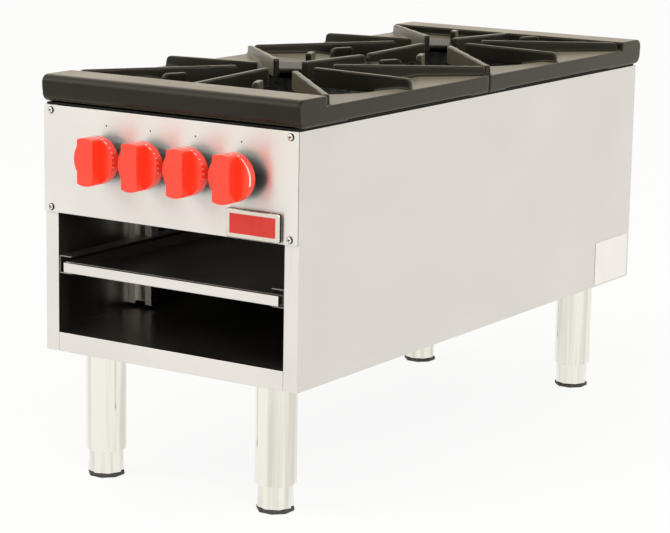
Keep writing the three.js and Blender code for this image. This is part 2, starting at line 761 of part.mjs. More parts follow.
function burner() {
  const low = burnerTop - ringHeight;
  const pieces = burnerRings.map(burnerRing);
  const armInner = burnerRings[0][1] - 4;
  const armOuter = burnerRings[2][0] + 4;
  for (const angle of [45, 135, 225, 315]) {
    pieces.push(block(armInner, armOuter, -7, 7, low + 2, low + 14).rotateZ(THREE.MathUtils.degToRad(angle)));
  }
  for (const x of [-footFromCentre, footFromCentre]) {
    for (const y of [-barFromCentre, barFromCentre]) {
      const foot = [[0, barTop + seat], [8, barTop + seat], [9, low + 2], [0, low + 2]];
      pieces.push(revolve(foot, coarse).translate(x, y, 0));
    }
  }
  const ringMiddle = (burnerRings[1][0] + burnerRings[1][1]) / 2;
  const outerRiserY = -Math.sqrt(ringMiddle ** 2 - orificeX[1] ** 2);
  pieces.push(...venturi(orificeX[0], 0), ...venturi(orificeX[1], outerRiserY));
  return join(...pieces);
}

const burnerBody = burner();
add('front_burner', burnerBody, castIron, 0, frontBurnerY);
add('rear_burner', burnerBody, castIron, 0, rearBurnerY);

const barHalf = innerWall - seat;
const burnerBar = solid(block(-barHalf, barHalf, -barWidth / 2, barWidth / 2, barZ, barTop));
for (const [name, y] of [['front', frontBurnerY], ['rear', rearBurnerY]]) {
  add(`${name}_burner_bar_1`, burnerBar, galvanised, 0, y - barFromCentre);
  add(`${name}_burner_bar_2`, burnerBar, galvanised, 0, y + barFromCentre);
}

// ---------------------------------------------------------------- gas train

const frontMouthY = frontBurnerY - venturiMouth;
const hoodEnd = frontMouthY - hoodGap;
const valveFront = frontY + valveFromPanel;
const valveRear = hoodEnd - hoodLength;
const manifoldX = [knobX[0] - manifoldEnd, knobX[3] + manifoldEnd];

add('gas_manifold', cut(
  solid(alongX(circle(manifoldY, manifoldZ, pipeRadius, 16), ...manifoldX)),
  alongX(circle(manifoldY, manifoldZ, pipeBore, 16), manifoldX[0] + pipeBore, manifoldX[1] + 1),
), galvanised);

add('gas_inlet_pipe', solid(tubeAlong([
  [manifoldX[1] + seat, manifoldY, manifoldZ], [inletX, manifoldY, manifoldZ],
  [inletX, rearY + inletStub, manifoldZ],
], pipeRadius, pipeBend, 16, pipeBore)), galvanised);

// Brass gas valve: body on a nipple from the manifold, bonnet to the front, outlet to the rear.
function valve(x) {
  const half = valveWidth / 2;
  const bodyLow = outletZ - half;
  const bodyShape = outline([
    [x - half, bodyLow, 4], [x + half, bodyLow, 4], [x + half, knobZ + half, 6], [x - half, knobZ + half, 6],
  ], 2);
  const body = alongY(bodyShape, valveFront + 8, valveRear);
  const bonnet = alongY(circle(x, knobZ, 9.5), valveFront, valveFront + 9);
  const outlet = alongY(circle(x, outletZ, 7), valveRear - 1, hoodEnd);
  const nipple = alongZ(circle(x, manifoldY, 7.5), manifoldZ + pipeRadius + seat, bodyLow + 1);
  const stemHole = alongY(circle(x, knobZ, stemRadius + seat), valveFront - 1, valveFront + stemInValve);
  const jet = alongY(circle(x, outletZ, 3), hoodEnd - 14, hoodEnd + 1);
  return cut(join(body, bonnet, outlet, nipple), stemHole, jet);
}

// Flatted valve stem, from the valve's bonnet into the knob's hub.
function stem(x) {
  const rear = valveFront + stemInValve - seat;
  const tip = frontY - knobBack - stemInKnob + seat;
  const rod = solid(alongY(circle(x, knobZ, stemRadius), tip, rear));
  return cut(rod, block(x + stemRadius - 1, x + 5, tip - 1, frontY - knobBack + 2, knobZ - 5, knobZ + 5));
}

// Moulded knob: a round skirt, and a grip bar left standing between two finger recesses.
function knob(x) {
  const round = 1.6;
  const profile = outline([
    [0, knobBack], [knobRadius - 1, knobBack], [knobRadius, knobBack + 2], [knobRadius, knobFront, round],
    [0, knobFront],
  ], 3).getPoints().map((point) => [point.x, point.y]);
  const body = solid(revolve(profile, 32));
  const cavity = revolve([
    [knobHub, knobBack - 1], [knobRadius - knobWall, knobBack - 1],
    [knobRadius - knobWall, knobFloor - knobWall], [knobHub, knobFloor - knobWall], [knobHub, knobBack - 1],
  ], 16);
  const bore = alongZ(circle(0, 0, stemRadius + seat), knobBack - 1, knobBack + stemInKnob);
  const recess = outline([
    [gripHalf, knobFloor, 2.5], [knobRadius + 2, knobFloor], [knobRadius + 2, knobFront + 2],
    [gripHalf, knobFront + 2],
  ], 3);
  const right = alongY(recess, -knobRadius - 1, knobRadius + 1);
  const left = right.clone().rotateZ(Math.PI);
  return cut(body, cavity, bore, right, left).rotate([90, 0, 0]).translate(x, frontY, knobZ);
}

knobX.forEach((x, i) => {
  const number = i + 1;
  add(`gas_valve_${number}`, valve(x), brass);
  add(`valve_stem_${number}`, stem(x), brass);
  add(`knob_${number}`, knob(x), redPhenolic);
});

// Supply tubes from the outer valves to the two orifices of the rear burner.
const tubeStart = hoodEnd + seat;
const tubeEnd = tabY - nutLength - seat;
[[knobX[0], orificeX[0]], [knobX[3], orificeX[1]]].forEach(([from, to], i) => {
  add(`rear_supply_tube_${i + 1}`, solid(tubeAlong([
    [from, tubeStart, outletZ], [from, tubeEnd - 2 * tubeShift, outletZ],
    [to, tubeEnd - tubeShift, outletZ], [to, tubeEnd, outletZ],
  ], tubeRadius, tubeBend, 8)), brass);
});

// Each orifice is held in the tab by a collar in front of it and a nut behind.
orificeX.forEach((x, i) => {
  const tip = rearMouthY - hoodGap;
  const collar = alongY(circle(x, outletZ, nutRadius, 6), tabY - nutLength, tabY - seat);
  const nut = alongY(circle(x, outletZ, nutRadius, 6), tabY + sheet + seat, tabY + sheet + nutLength);
  const nozzle = alongY(circle(x, outletZ, orificeRadius), tabY - nutLength, tip);
  const jet = alongY(circle(x, outletZ, orificeRadius / 2, 8), tip - nutLength, tip + 1);
  add(`rear_orifice_${i + 1}`, cut(join(collar, nut, nozzle), jet), brass);
});

// Pilot tubes run from the back of the manifold and rise to a tip beside each burner's outer ring.
const pilotX = [(knobX[0] + knobX[1]) / 2, knobCentreX];
const pilotTip = burnerTop - pilotBelow;
[['front', frontBurnerY], ['rear', rearBurnerY]].forEach(([name, burnerY], i) => {
  const x = pilotX[i];
  const outer = burnerRings[2][1];
  const tipY = burnerY - Math.sqrt(outer ** 2 - x ** 2) - pilotOffset;
  const line = tubeAlong([
    [x, manifoldY + pipeRadius + seat, manifoldZ], [x, tipY, manifoldZ], [x, tipY, pilotTip],
  ], pilotRadius, pilotBend, 8);
  const tip = alongZ(circle(x, tipY, 5, 8), pilotTip - 12, pilotTip + 8);
  add(`${name}_pilot`, join(line, tip), brass);
});

function valveShield() {
  const half = innerWall - seat;
  const low = panelBottom + shieldRise;
  const shieldY = frontY + shieldFromPanel;
  const face = rectangle(-half, half, low, barZ - 1);
  const holes = [
    ...orificeX.map((x) => circle(x, outletZ, venturiRadius + venturiBell + 1.5, 16)),
    ...[knobX[0], knobX[3]].map((x) => circle(x, outletZ, tubeRadius + 2)),
    ...pilotX.map((x) => circle(x, manifoldZ, pilotRadius + 2, 8)),
    circle(inletX, manifoldZ, pipeRadius + 2, 16),
  ];
  const fold = solid(block(-half, half, shieldY, shieldY + panelReturn, low, low + sheet));
  return pierced(alongY, face, shieldY, shieldY + sheet, holes).add(fold);
}

add('valve_heat_shield', valveShield(), galvanised);

// ---------------------------------------------------------------- badge and label

function badge() {
  const x = badgeWidth / 2 - badgeBevel;
  const z = badgeHeight / 2 - badgeBevel;
  const plate = new THREE.ExtrudeGeometry(outline([[-x, -z, 2], [x, -z, 2], [x, z, 2], [-x, z, 2]], 2), {
    depth: badgeThickness - badgeBevel, bevelEnabled: true, bevelThickness: badgeBevel,
    bevelSize: badgeBevel, bevelSegments: 1,
  }).rotateX(Math.PI / 2);
  const fieldX = badgeWidth / 2 - badgeFrame;
  const fieldZ = badgeHeight / 2 - badgeFrame;
  const back = block(-badgeWidth, badgeWidth, -seat, badgeThickness, -badgeHeight, badgeHeight);
  const field = block(-fieldX, fieldX, -badgeThickness - 1, -badgeThickness + 1, -fieldZ, fieldZ);
  return cut(solid(plate), back, field);
}

const badgeX = sideX - badgeInset - badgeWidth / 2;
add('badge_plate', badge(), polishedSteel, badgeX, frontY, panelBottom + badgeRise + badgeHeight / 2);

const labelZ = bodyBottom + labelRise + labelHeight / 2;
const labelY = rearY - labelInset - labelWidth / 2;
add('data_label', solid(block(
  sideX + seat, sideX + seat + 0.3, labelY - labelWidth / 2, labelY + labelWidth / 2,
  labelZ - labelHeight / 2, labelZ + labelHeight / 2,
)), whiteLabel);

// ---------------------------------------------------------------- legs

const legBottom = padHeight + footVisible;
const socketTop = panFloor - sheet - seat;
const legTop = socketTop - socketThickness - seat;
const legBore = legRadius - legWall;
const footRadius = legBore - seat;

const legTube = solid(revolve([
  [legBore, legBottom], [legRadius - 1.5, legBottom], [legRadius, legBottom + 2.5], [legRadius, legTop],
  [legBore, legTop], [legBore, legBottom],
]));

function legSocket() {
  const half = socketSize / 2;
  const plate = outline([[-half, -half, 8], [half, -half, 8], [half, half, 8], [-half, half, 8]], 2);
  const collarWall = 3;
  const r = legBore - seat;
  const collar = revolve([
    [r - collarWall, legTop - socketCollar], [r, legTop - socketCollar], [r, socketTop - 1],
    [r - collarWall, socketTop - 1], [r - collarWall, legTop - socketCollar],
  ]);
  return join(alongZ(plate, socketTop - socketThickness, socketTop), collar);
}

// Adjustable foot: a round shank in the tube, its visible part turning eight-sided for a spanner.
function adjustableFoot() {
  const flatsTop = padHeight + footFlats;
  const shankTop = legBottom + footInside;
  const shank = revolve([
    [0, flatsTop], [footRadius, flatsTop], [footRadius, shankTop - 3], [footRadius - 3, shankTop],
    [0, shankTop],
  ]);
  const flats = revolve([
    [0, padHeight + seat], [padRadius - 1.2, padHeight + seat], [padRadius - 1.2, flatsTop - 8],
    [footRadius - 0.5, flatsTop + 4], [0, flatsTop + 4],
  ], 8);
  const thread = alongZ(circle(0, 0, footRadius / 2), legBottom + 6, shankTop + 1);
  return cut(join(shank, flats), thread);
}

const footPad = solid(revolve([
  [0, 0], [padRadius - 1, 0], [padRadius, 1.5], [padRadius, padHeight], [0, padHeight],
], 8));

const socketBody = legSocket();
const footBody = adjustableFoot();
const legX = sideX - legInset;
const frontLegY = frontY + frontLegInset;
const rearLegY = rearY - rearLegInset;
for (const [name, x, y] of [
  ['front_left', -legX, frontLegY], ['front_right', legX, frontLegY],
  ['rear_left', -legX, rearLegY], ['rear_right', legX, rearLegY],
]) {
  add(`${name}_leg_socket`, socketBody, galvanised, x, y);
  add(`${name}_leg_tube`, legTube, polishedSteel, x, y);
  add(`${name}_foot`, footBody, polishedSteel, x, y);
  add(`${name}_foot_pad`, footPad, blackRubber, x, y);
}

const model = new THREE.Group();
model.add(range);

export default model;
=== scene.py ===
"""A two-section stock pot range, dressed: every visible piece gets its finished form and surface.

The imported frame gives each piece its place. Lengths are in metres, the control panel faces -Y,
+X is to the right seen from the front, and the floor is at Z = 0.
"""

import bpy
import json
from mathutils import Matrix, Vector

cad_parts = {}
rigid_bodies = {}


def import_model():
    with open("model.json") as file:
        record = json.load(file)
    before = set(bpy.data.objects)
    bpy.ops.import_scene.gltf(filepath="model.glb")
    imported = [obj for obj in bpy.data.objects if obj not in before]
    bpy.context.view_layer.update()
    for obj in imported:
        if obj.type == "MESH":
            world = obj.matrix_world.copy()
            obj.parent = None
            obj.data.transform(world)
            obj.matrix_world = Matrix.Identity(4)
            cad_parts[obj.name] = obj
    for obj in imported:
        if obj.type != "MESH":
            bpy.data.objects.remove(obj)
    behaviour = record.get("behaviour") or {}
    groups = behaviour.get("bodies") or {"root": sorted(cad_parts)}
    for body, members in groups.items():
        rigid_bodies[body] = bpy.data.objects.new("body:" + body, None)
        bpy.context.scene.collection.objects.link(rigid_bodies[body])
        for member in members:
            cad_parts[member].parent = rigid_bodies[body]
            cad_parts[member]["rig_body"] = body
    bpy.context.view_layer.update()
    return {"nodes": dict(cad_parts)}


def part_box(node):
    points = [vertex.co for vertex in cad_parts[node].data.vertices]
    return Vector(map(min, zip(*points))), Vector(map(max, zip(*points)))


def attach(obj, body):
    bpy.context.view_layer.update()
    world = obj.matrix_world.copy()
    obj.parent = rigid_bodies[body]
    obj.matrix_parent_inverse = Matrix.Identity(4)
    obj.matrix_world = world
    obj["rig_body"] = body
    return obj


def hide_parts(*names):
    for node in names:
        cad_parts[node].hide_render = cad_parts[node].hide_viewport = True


bl_info = {
    "name": "Stock Pot Range",
    "version": (1, 0, 0),
    "blender": (4, 5, 0),
    "location": "View3D > Sidebar > Range",
    "description": "Builds the finished pieces of a stock pot range around its frame",
    "category": "Add Mesh",
}

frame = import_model()

import json
import math

import bmesh
import bpy
from bpy.props import FloatProperty, FloatVectorProperty, PointerProperty
from mathutils import Matrix, Vector

MM = 0.001
SIDES = ("left", "right")
CORNERS = ("front_left", "front_right", "rear_left", "rear_right")
KNOBS = (1, 2, 3, 4)

# Rounding of sharp edges, by how a piece is made.
PRESSED_EDGE = 0.5 * MM
CAST_EDGE = 0.8 * MM
PIPE_EDGE = 0.6 * MM
TURNED_EDGE = 0.4 * MM
STEM_EDGE = 0.3 * MM
# A wider rounding would stand out as a spike at the elbow of the inlet pipe.
ELBOW_EDGE = 0.1 * MM

SKIN = 0.9 * MM  # a face nearer than this to a side of its node's box is on the outer skin
SLACK = 0.1 * MM  # added to a limit so that faces that lie on it count as inside


# ---------------------------------------------------------------- colours and shader nodes


def srgb(code):
    """A hex colour such as #D8D4CF as linear red, green, blue and alpha."""
    parts = [int(code[i : i + 2], 16) / 255 for i in (1, 3, 5)]
    return [c / 12.92 if c <= 0.04045 else ((c + 0.055) / 1.055) ** 2.4 for c in parts] + [1.0]


def add_node(tree, kind, settings=None, links=None):
    """Adds a shader node. Settings are its properties or input values, links feed its inputs."""
    node = tree.nodes.new(kind)
    for name, value in (settings or {}).items():
        if isinstance(name, str) and hasattr(node, name):
            setattr(node, name, value)
        else:
            node.inputs[name].default_value = value
    for name, output in (links or {}).items():
        tree.links.new(output, node.inputs[name])
    return node


def new_material(name, settings):
    """A material with a Principled surface, its node tree and that shader."""
    material = bpy.data.materials.new(name)
    material.use_nodes = True
    tree = material.node_tree
    shader = tree.nodes["Principled BSDF"]
    for socket, value in settings.items():
        shader.inputs[socket].default_value = value
    return material, tree, shader


def pattern(tree, size, stretch=(1, 1, 1), detail=3.0):
    """Noise whose features are about size metres across, longer where stretch is above 1."""
    place = add_node(tree, "ShaderNodeTexCoord").outputs["Object"]
    scale = [1 / (size * s) for s in stretch]
    mapping = add_node(tree, "ShaderNodeMapping", {"Scale": scale}, {"Vector": place})
    noise = add_node(
        tree,
        "ShaderNodeTexNoise",
        {"Scale": 1.0, "Detail": detail, "Roughness": 0.5},
        {"Vector": mapping.outputs["Vector"]},
    )
    return noise.outputs["Fac"]


def spread(tree, value, low, high, from_low=0.3, from_high=0.7):
    """Maps a pattern to a range of values."""
    settings = {"From Min": from_low, "From Max": from_high, "To Min": low, "To Max": high}
    return add_node(tree, "ShaderNodeMapRange", settings, {"Value": value}).outputs["Result"]


def mix_colours(tree, factor, first, second):
    """Two linear colours mixed by a pattern."""
    # Inputs 0, 6 and 7 of a Mix node that mixes colours are its factor and its colours A and B.
    node = add_node(tree, "ShaderNodeMix", {"data_type": "RGBA", 6: first, 7: second}, {0: factor})
    return node.outputs[2]


def blend_colours(tree, factor, first, second):
    """Two hex colours mixed by a pattern."""
    return mix_colours(tree, factor, srgb(first), srgb(second))


def paint(tree, shader, factor, first, second):
    """Colours a surface from one hex colour to another, by a pattern."""
    colour = blend_colours(tree, factor, first, second)
    tree.links.new(colour, shader.inputs["Base Color"])


def roughen(tree, shader, value, low, high):
    """Makes a surface smoother or rougher by a pattern."""
    tree.links.new(spread(tree, value, low, high), shader.inputs["Roughness"])


def raise_bump(tree, shader, height, depth, strength=1.0):
    """Bumps a surface by a pattern, depth metres from its low to its high places."""
    settings = {"Strength": strength, "Distance": depth}
    bump = add_node(tree, "ShaderNodeBump", settings, {"Height": height})
    tree.links.new(bump.outputs["Normal"], shader.inputs["Normal"])


# ---------------------------------------------------------------- materials


def brushed_stainless():
    """Stainless sheet brushed along its length: soft reflections, streaked across the grain."""
    look = bpy.context.scene.range_metal
    # A quarter turn of the anisotropy smears reflections up and down, across the brush lines.
    material, tree, shader = new_material(
        "Brushed stainless sheet",
        {"Metallic": 1.0, "Anisotropic": 0.82, "Anisotropic Rotation": 0.25},
    )
    # Brush lines are about 0.2 mm apart, drawn as 1.2 mm so that they show.
    lines = pattern(tree, 1.2 * MM, (200, 200, 1), 2.0)
    smudges = pattern(tree, 160 * MM, (1.6, 1.6, 1), 2.0)
    paint(tree, shader, spread(tree, smudges, 0, 1), "#DDDAD4", "#E4E1DC")
    middle = look.sheet_roughness
    parts = {
        0: spread(tree, lines, middle - 0.04, middle + 0.04),
        1: spread(tree, smudges, -0.03, 0.03),
    }
    rough = add_node(tree, "ShaderNodeMath", {"operation": "ADD"}, parts)
    tree.links.new(rough.outputs[0], shader.inputs["Roughness"])
    raise_bump(tree, shader, lines, 0.004 * MM, 0.5)
    return material


def shaded_inner_stainless():
    """Mill-finish stainless inside the bay: smoother, with faint stains, and darker as painted
    shade.
    """
    material, tree, shader = new_material("Mill finish stainless with painted shade", {"Metallic": 1.0})
    stains = pattern(tree, 120 * MM, detail=2.0)
    # Much darker than the brushed sheet: painted shade for the inside of the bay.
    paint(tree, shader, spread(tree, stains, 0, 1), "#8E8B85", "#9E9B95")
    roughen(tree, shader, stains, 0.3, 0.36)
    return material


def polished_stainless():
    """Polished tube: near-mirror reflections, with lengthwise streaks of painted reflection in its
    colour.
    """
    look = bpy.context.scene.range_metal
    material, tree, shader = new_material("Polished stainless tube", {"Metallic": 1.0})
    draw = pattern(tree, 12 * MM, (1, 1, 40), 2.0)
    marks = pattern(tree, 25 * MM, (1, 1, 2), 4.0)
    # Painted reflection: light and dark lengthwise streaks for the dark strips that the tube
    # reflects.
    paint(tree, shader, spread(tree, draw, 0, 1, 0.35, 0.55), "#DAD6CA", "#F1EEE5")
    polish = look.tube_roughness
    roughen(tree, shader, marks, polish - 0.03, polish + 0.05)
    return material


def galvanised_steel():
    """Hot-dip galvanised sheet: a patchwork of dull zinc spangles."""
    material, tree, shader = new_material("Galvanised steel", {"Metallic": 1.0})
    place = add_node(tree, "ShaderNodeTexCoord").outputs["Object"]
    # Spangles are about 9 mm across.
    spangle = add_node(tree, "ShaderNodeTexVoronoi", {"Scale": 1 / (9 * MM)}, {"Vector": place})
    shade = add_node(tree, "ShaderNodeSeparateColor", None, {"Color": spangle.outputs["Color"]})
    paint(tree, shader, shade.outputs["Red"], "#8F9294", "#B4B7B9")
    rough = spread(tree, shade.outputs["Green"], 0.38, 0.55, 0, 1)
    tree.links.new(rough, shader.inputs["Roughness"])
    return material


def gas_brass():
    """Bare machined brass with a little tarnish."""
    material, tree, shader = new_material("Machined brass", {"Metallic": 1.0})
    tarnish = pattern(tree, 14 * MM, detail=4.0)
    paint(tree, shader, spread(tree, tarnish, 0, 1), "#8F6F38", "#C8A561")
    roughen(tree, shader, tarnish, 0.42, 0.24)
    return material


def cast_iron():
    """Sand-cast iron with a baked satin coat: dark and fine-grained, bright at a low angle."""
    look = bpy.context.scene.range_iron
    material, tree, shader = new_material(
        "Coated cast iron",
        {
            "IOR": 1.38,
            "Specular Tint": srgb("#E6DFCB"),
            "Sheen Weight": 0.5,
            "Sheen Roughness": 0.35,
            "Sheen Tint": srgb("#E2D6B4"),
        },
    )
    # Casting sand leaves grains of about 0.4 mm, drawn as 1.8 mm so that they show.
    grain = pattern(tree, 1.8 * MM, detail=2.0)
    patches = pattern(tree, 90 * MM, detail=2.0)
    paint(tree, shader, spread(tree, patches, 0, 1), "#14130F", "#1B1914")
    coat = look.coat_roughness
    roughen(tree, shader, patches, coat - 0.03, coat + 0.05)
    raise_bump(tree, shader, grain, look.grain_depth * MM, 0.7)
    return material


def burner_iron():
    """Bare grey iron, heat-dulled: rougher and browner than the coated grates."""
    material, tree, shader = new_material("Heat-dulled cast iron", {"Metallic": 0.25})
    grain = pattern(tree, 1.8 * MM, detail=3.0)
    bloom = pattern(tree, 30 * MM, detail=4.0)
    paint(tree, shader, spread(tree, bloom, 0, 1), "#2B2825", "#4A423A")
    roughen(tree, shader, bloom, 0.5, 0.68)
    raise_bump(tree, shader, grain, 0.15 * MM)
    return material


def black_enamel():
    """Vitreous enamel on steel, heat-dulled: black with a slight orange peel."""
    dull = {"Roughness": 0.5, "Specular IOR Level": 0.2}
    material, tree, shader = new_material("Black enamel", dull)
    peel = pattern(tree, 5 * MM, detail=2.0)
    paint(tree, shader, peel, "#0C0B0A", "#141211")
    raise_bump(tree, shader, peel, 0.05 * MM, 0.5)
    return material


def red_phenolic():
    """Compression-moulded phenolic: saturated red with a smooth, slightly glossy skin."""
    look = bpy.context.scene.range_knob
    material, tree, shader = new_material("Moulded red phenolic", {"IOR": 1.6})
    flow = pattern(tree, 40 * MM, detail=1.0)
    red, green, blue = look.colour
    deeper = (red * 0.97, green * 0.85, blue * 0.85, 1)
    colour = mix_colours(tree, spread(tree, flow, 0, 1), deeper, (red, green, blue, 1))
    tree.links.new(colour, shader.inputs["Base Color"])
    roughen(tree, shader, flow, 0.27, 0.31)
    return material


def painted_shade_black():
    """Painted shade: dull black on knob backs, badge sides, and screw rims and recesses."""
    dull = {"Roughness": 0.7, "Specular IOR Level": 0.2}
    material, tree, shader = new_material("Black painted shade", dull)
    flow = pattern(tree, 9 * MM, detail=2.0)
    # Painted shade: near black, with a little random tone.
    paint(tree, shader, flow, "#090808", "#100F0E")
    return material


def white_print_and_highlight():
    """White ink, slightly worn: print on the knobs' skirts, and painted highlight in the arc."""
    material, tree, shader = new_material("White print and painted highlight", {"Roughness": 0.5})
    wear = pattern(tree, 1.5 * MM, detail=2.0)
    paint(tree, shader, wear, "#D9D2CC", "#F6F3F0")
    return material


def label_film():
    """Blank white polyester film, satin and a little yellowed."""
    material, tree, shader = new_material("White polyester film", {"Roughness": 0.35})
    tone = pattern(tree, 40 * MM, detail=2.0)
    paint(tree, shader, tone, "#EFEDE8", "#F7F6F3")
    raise_bump(tree, shader, tone, 0.1 * MM, 0.4)
    return material


def red_enamel():
    """Filled enamel of the badge: flat deep red under clear lacquer."""
    material, tree, shader = new_material("Red badge enamel", {"Roughness": 0.4, "IOR": 1.4})
    tone = pattern(tree, 6 * MM, detail=2.0)
    paint(tree, shader, tone, "#C63026", "#CF362B")
    return material


def nickel_plate():
    """Satin nickel plating on a die-cast frame."""
    material, tree, shader = new_material("Satin nickel plate", {"Metallic": 1.0})
    tone = pattern(tree, 8 * MM, detail=3.0)
    paint(tree, shader, tone, "#D8D2C4", "#E6E0D3")
    roughen(tree, shader, tone, 0.2, 0.3)
    return material


def dark_rubber():
    """Hard rubber foot pad, scuffed grey."""
    material, tree, shader = new_material("Hard rubber", {"Roughness": 0.7})
    scuff = pattern(tree, 4 * MM, detail=4.0)
    paint(tree, shader, spread(tree, scuff, 0, 1), "#2E2B29", "#4A4642")
    raise_bump(tree, shader, scuff, 0.1 * MM, 0.5)
    return material


MAKERS = {
    "brushed": brushed_stainless,
    "mill_shaded": shaded_inner_stainless,
    "polished": polished_stainless,
    "zinc": galvanised_steel,
    "brass": gas_brass,
    "iron": cast_iron,
    "burner": burner_iron,
    "enamel": black_enamel,
    "phenolic": red_phenolic,
    "painted_shade": painted_shade_black,
    "print_and_highlight": white_print_and_highlight,
    "film": label_film,
    "badge_red": red_enamel,
    "nickel": nickel_plate,
    "rubber": dark_rubber,
}
made = {}


def material_for(finish):
    """The material of a finish, made once."""
    if finish not in made:
        made[finish] = MAKERS[finish]()
    return made[finish]


# ---------------------------------------------------------------- mesh tools


def body_of(node):
    """The body that a node of the frame rides on."""
    return frame["nodes"][node]["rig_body"]


def finish_piece(name, mesh, finishes, node=None, body=None, second=()):
    """Puts a mesh in the scene as a piece, in place of a node or riding on a body.

    Where second is given, it tells for each face whether it gets the second finish.
    """
    piece = bpy.data.objects.new(name, mesh)
    bpy.context.scene.collection.objects.link(piece)
    mesh.materials.clear()
    for finish in finishes:
        mesh.materials.append(material_for(finish))
    for face, other in zip(mesh.polygons, second):
        face.material_index = int(other)
    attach(piece, body or body_of(node))
    if node:
        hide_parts(node)


def mesh_from(bm, name, smooth=True):
    """A mesh with outward faces from a bmesh, which is freed."""
    bmesh.ops.recalc_face_normals(bm, faces=bm.faces)
    for face in bm.faces:
        face.smooth = smooth
    mesh = bpy.data.meshes.new(name)
    bm.to_mesh(mesh)
    bm.free()
    return mesh


def settle(mesh, modifiers):
    """The mesh with modifiers applied; each is a kind and its settings."""
    holder = bpy.data.objects.new("holder", mesh)
    bpy.context.scene.collection.objects.link(holder)
    for kind, settings in modifiers:
        modifier = holder.modifiers.new(kind.lower(), kind)
        for name, value in settings.items():
            setattr(modifier, name, value)
    graph = bpy.context.evaluated_depsgraph_get()
    result = bpy.data.meshes.new_from_object(holder.evaluated_get(graph))
    bpy.data.objects.remove(holder)
    return result


def mark_outer_edges(mesh, angle):
    """Gives full bevel weight to the edges that stand out by more than an angle."""
    bm = bmesh.new()
    bm.from_mesh(mesh)
    weight = bm.edges.layers.float.new("bevel_weight_edge")
    for edge in bm.edges:
        if edge.is_manifold and edge.calc_face_angle_signed() > angle:
            edge[weight] = 1.0
    bm.to_mesh(mesh)
    bm.free()


def eased(mesh, width, segments=2, outer_only=False):
    """The mesh with its sharp edges rounded to width metres, and its flat faces kept flat."""
    sharp = math.radians(30)
    bevel = {
        "width": width,
        "segments": segments,
        "limit_method": "ANGLE",
        "angle_limit": sharp,
        "miter_outer": "MITER_ARC",
        "use_clamp_overlap": False,
    }
    if outer_only:
        mark_outer_edges(mesh, sharp)
        bevel["limit_method"] = "WEIGHT"
    mesh = settle(mesh, [("BEVEL", bevel)])
    mesh.set_sharp_from_angle(angle=math.radians(50))
    return settle(mesh, [("WEIGHTED_NORMAL", {"keep_sharp": True})])


def bare_copy(node, whole=True):
    """A bmesh copy of a node, with its flat faces made whole again where whole says so."""
    bm = bmesh.new()
    bm.from_mesh(frame["nodes"][node].data)
    bmesh.ops.remove_doubles(bm, verts=bm.verts, dist=0.001 * MM)
    if whole:
        bmesh.ops.dissolve_limit(
            bm,
            angle_limit=math.radians(0.5),
            use_dissolve_boundaries=False,
            verts=bm.verts,
            edges=bm.edges,
        )
    return bm


def dress(node, finish, width, hidden=None, seen=None, whole=True):
    """A node's own form with eased edges. Faces that seen() refuses get the hidden finish."""
    mesh = eased(mesh_from(bare_copy(node, whole), node), width)
    finishes = [finish, hidden] if hidden else [finish]
    second = [not seen(face.center) for face in mesh.polygons] if hidden else ()
    finish_piece("dressed_" + node, mesh, finishes, node, second=second)


def outer_skin(node):
    """Tests whether a point is on the outer side, front, rear or underside of a side panel."""
    low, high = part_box(node)
    outside = max(abs(low.x), abs(high.x))

    def on_skin(at):
        depths = (outside - abs(at.x), at.y - low.y, high.y - at.y, at.z - low.z)
        return min(depths) < SKIN

    return on_skin


def front_skin(node):
    """Tests whether a point is on the front of a node."""
    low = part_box(node)[0]
    return lambda at: at.y - low.y < SKIN


def polar_vertex(bm, radius, angle, z, centre=(0, 0)):
    """A vertex at a distance and in a direction from a vertical line."""
    x = centre[0] + radius * math.cos(angle)
    y = centre[1] + radius * math.sin(angle)
    return bm.verts.new((x, y, z))


def ring_angles(count, start=0.0):
    """Even directions all around."""
    return [start + 2 * math.pi * k / count for k in range(count)]


def ring_of(bm, radius, z, count, centre=(0, 0), start=0.0):
    """A ring of vertices about a vertical line."""
    return [polar_vertex(bm, radius, angle, z, centre) for angle in ring_angles(count, start)]


def bridge(bm, lower, upper):
    """Quads between two rings of the same count."""
    count = len(lower)
    for k in range(count):
        n = (k + 1) % count
        bm.faces.new((lower[k], lower[n], upper[n], upper[k]))


def skin_over(bm, rings, capped=True):
    """Quads from each ring to the next, and a face on the first and the last where capped."""
    for lower, upper in zip(rings, rings[1:]):
        bridge(bm, lower, upper)
    if capped:
        bm.faces.new(rings[0])
        bm.faces.new(rings[-1])


def lathe(bm, profile, count, centre=(0, 0), start=0.0, closed=False):
    """Turns a profile of (radius, height) about a vertical line, capped unless it is closed."""
    rings = [ring_of(bm, radius, height, count, centre, start) for radius, height in profile]
    skin_over(bm, rings, capped=not closed)
    if closed:
        bridge(bm, rings[-1], rings[0])


def middle_of(low, high):
    """The point midway between two corners of a box."""
    return (low + high) / 2


def facing_front():
    """Turns a mesh that stands along +Z so that it points to the front, along -Y."""
    return Matrix.Rotation(math.radians(90), 4, "X")


# ---------------------------------------------------------------- settings


class RangeMetalSettings(bpy.types.PropertyGroup):
    """Surfaces of the stainless pieces."""

    sheet_roughness: FloatProperty(
        name="Sheet roughness",
        description="How soft the reflections in the brushed sheet are",
        default=0.36,
        min=0.05,
        max=0.8,
        subtype="FACTOR",
    )
    tube_roughness: FloatProperty(
        name="Tube roughness",
        description="How soft the reflections in the polished legs are",
        default=0.1,
        min=0.03,
        max=0.6,
        subtype="FACTOR",
    )
    fold_radius: FloatProperty(
        name="Fold radius",
        description="Outer radius of the folded sheet edges",
        default=0.6 * MM,
        min=0.1 * MM,
        max=2 * MM,
        unit="LENGTH",
    )


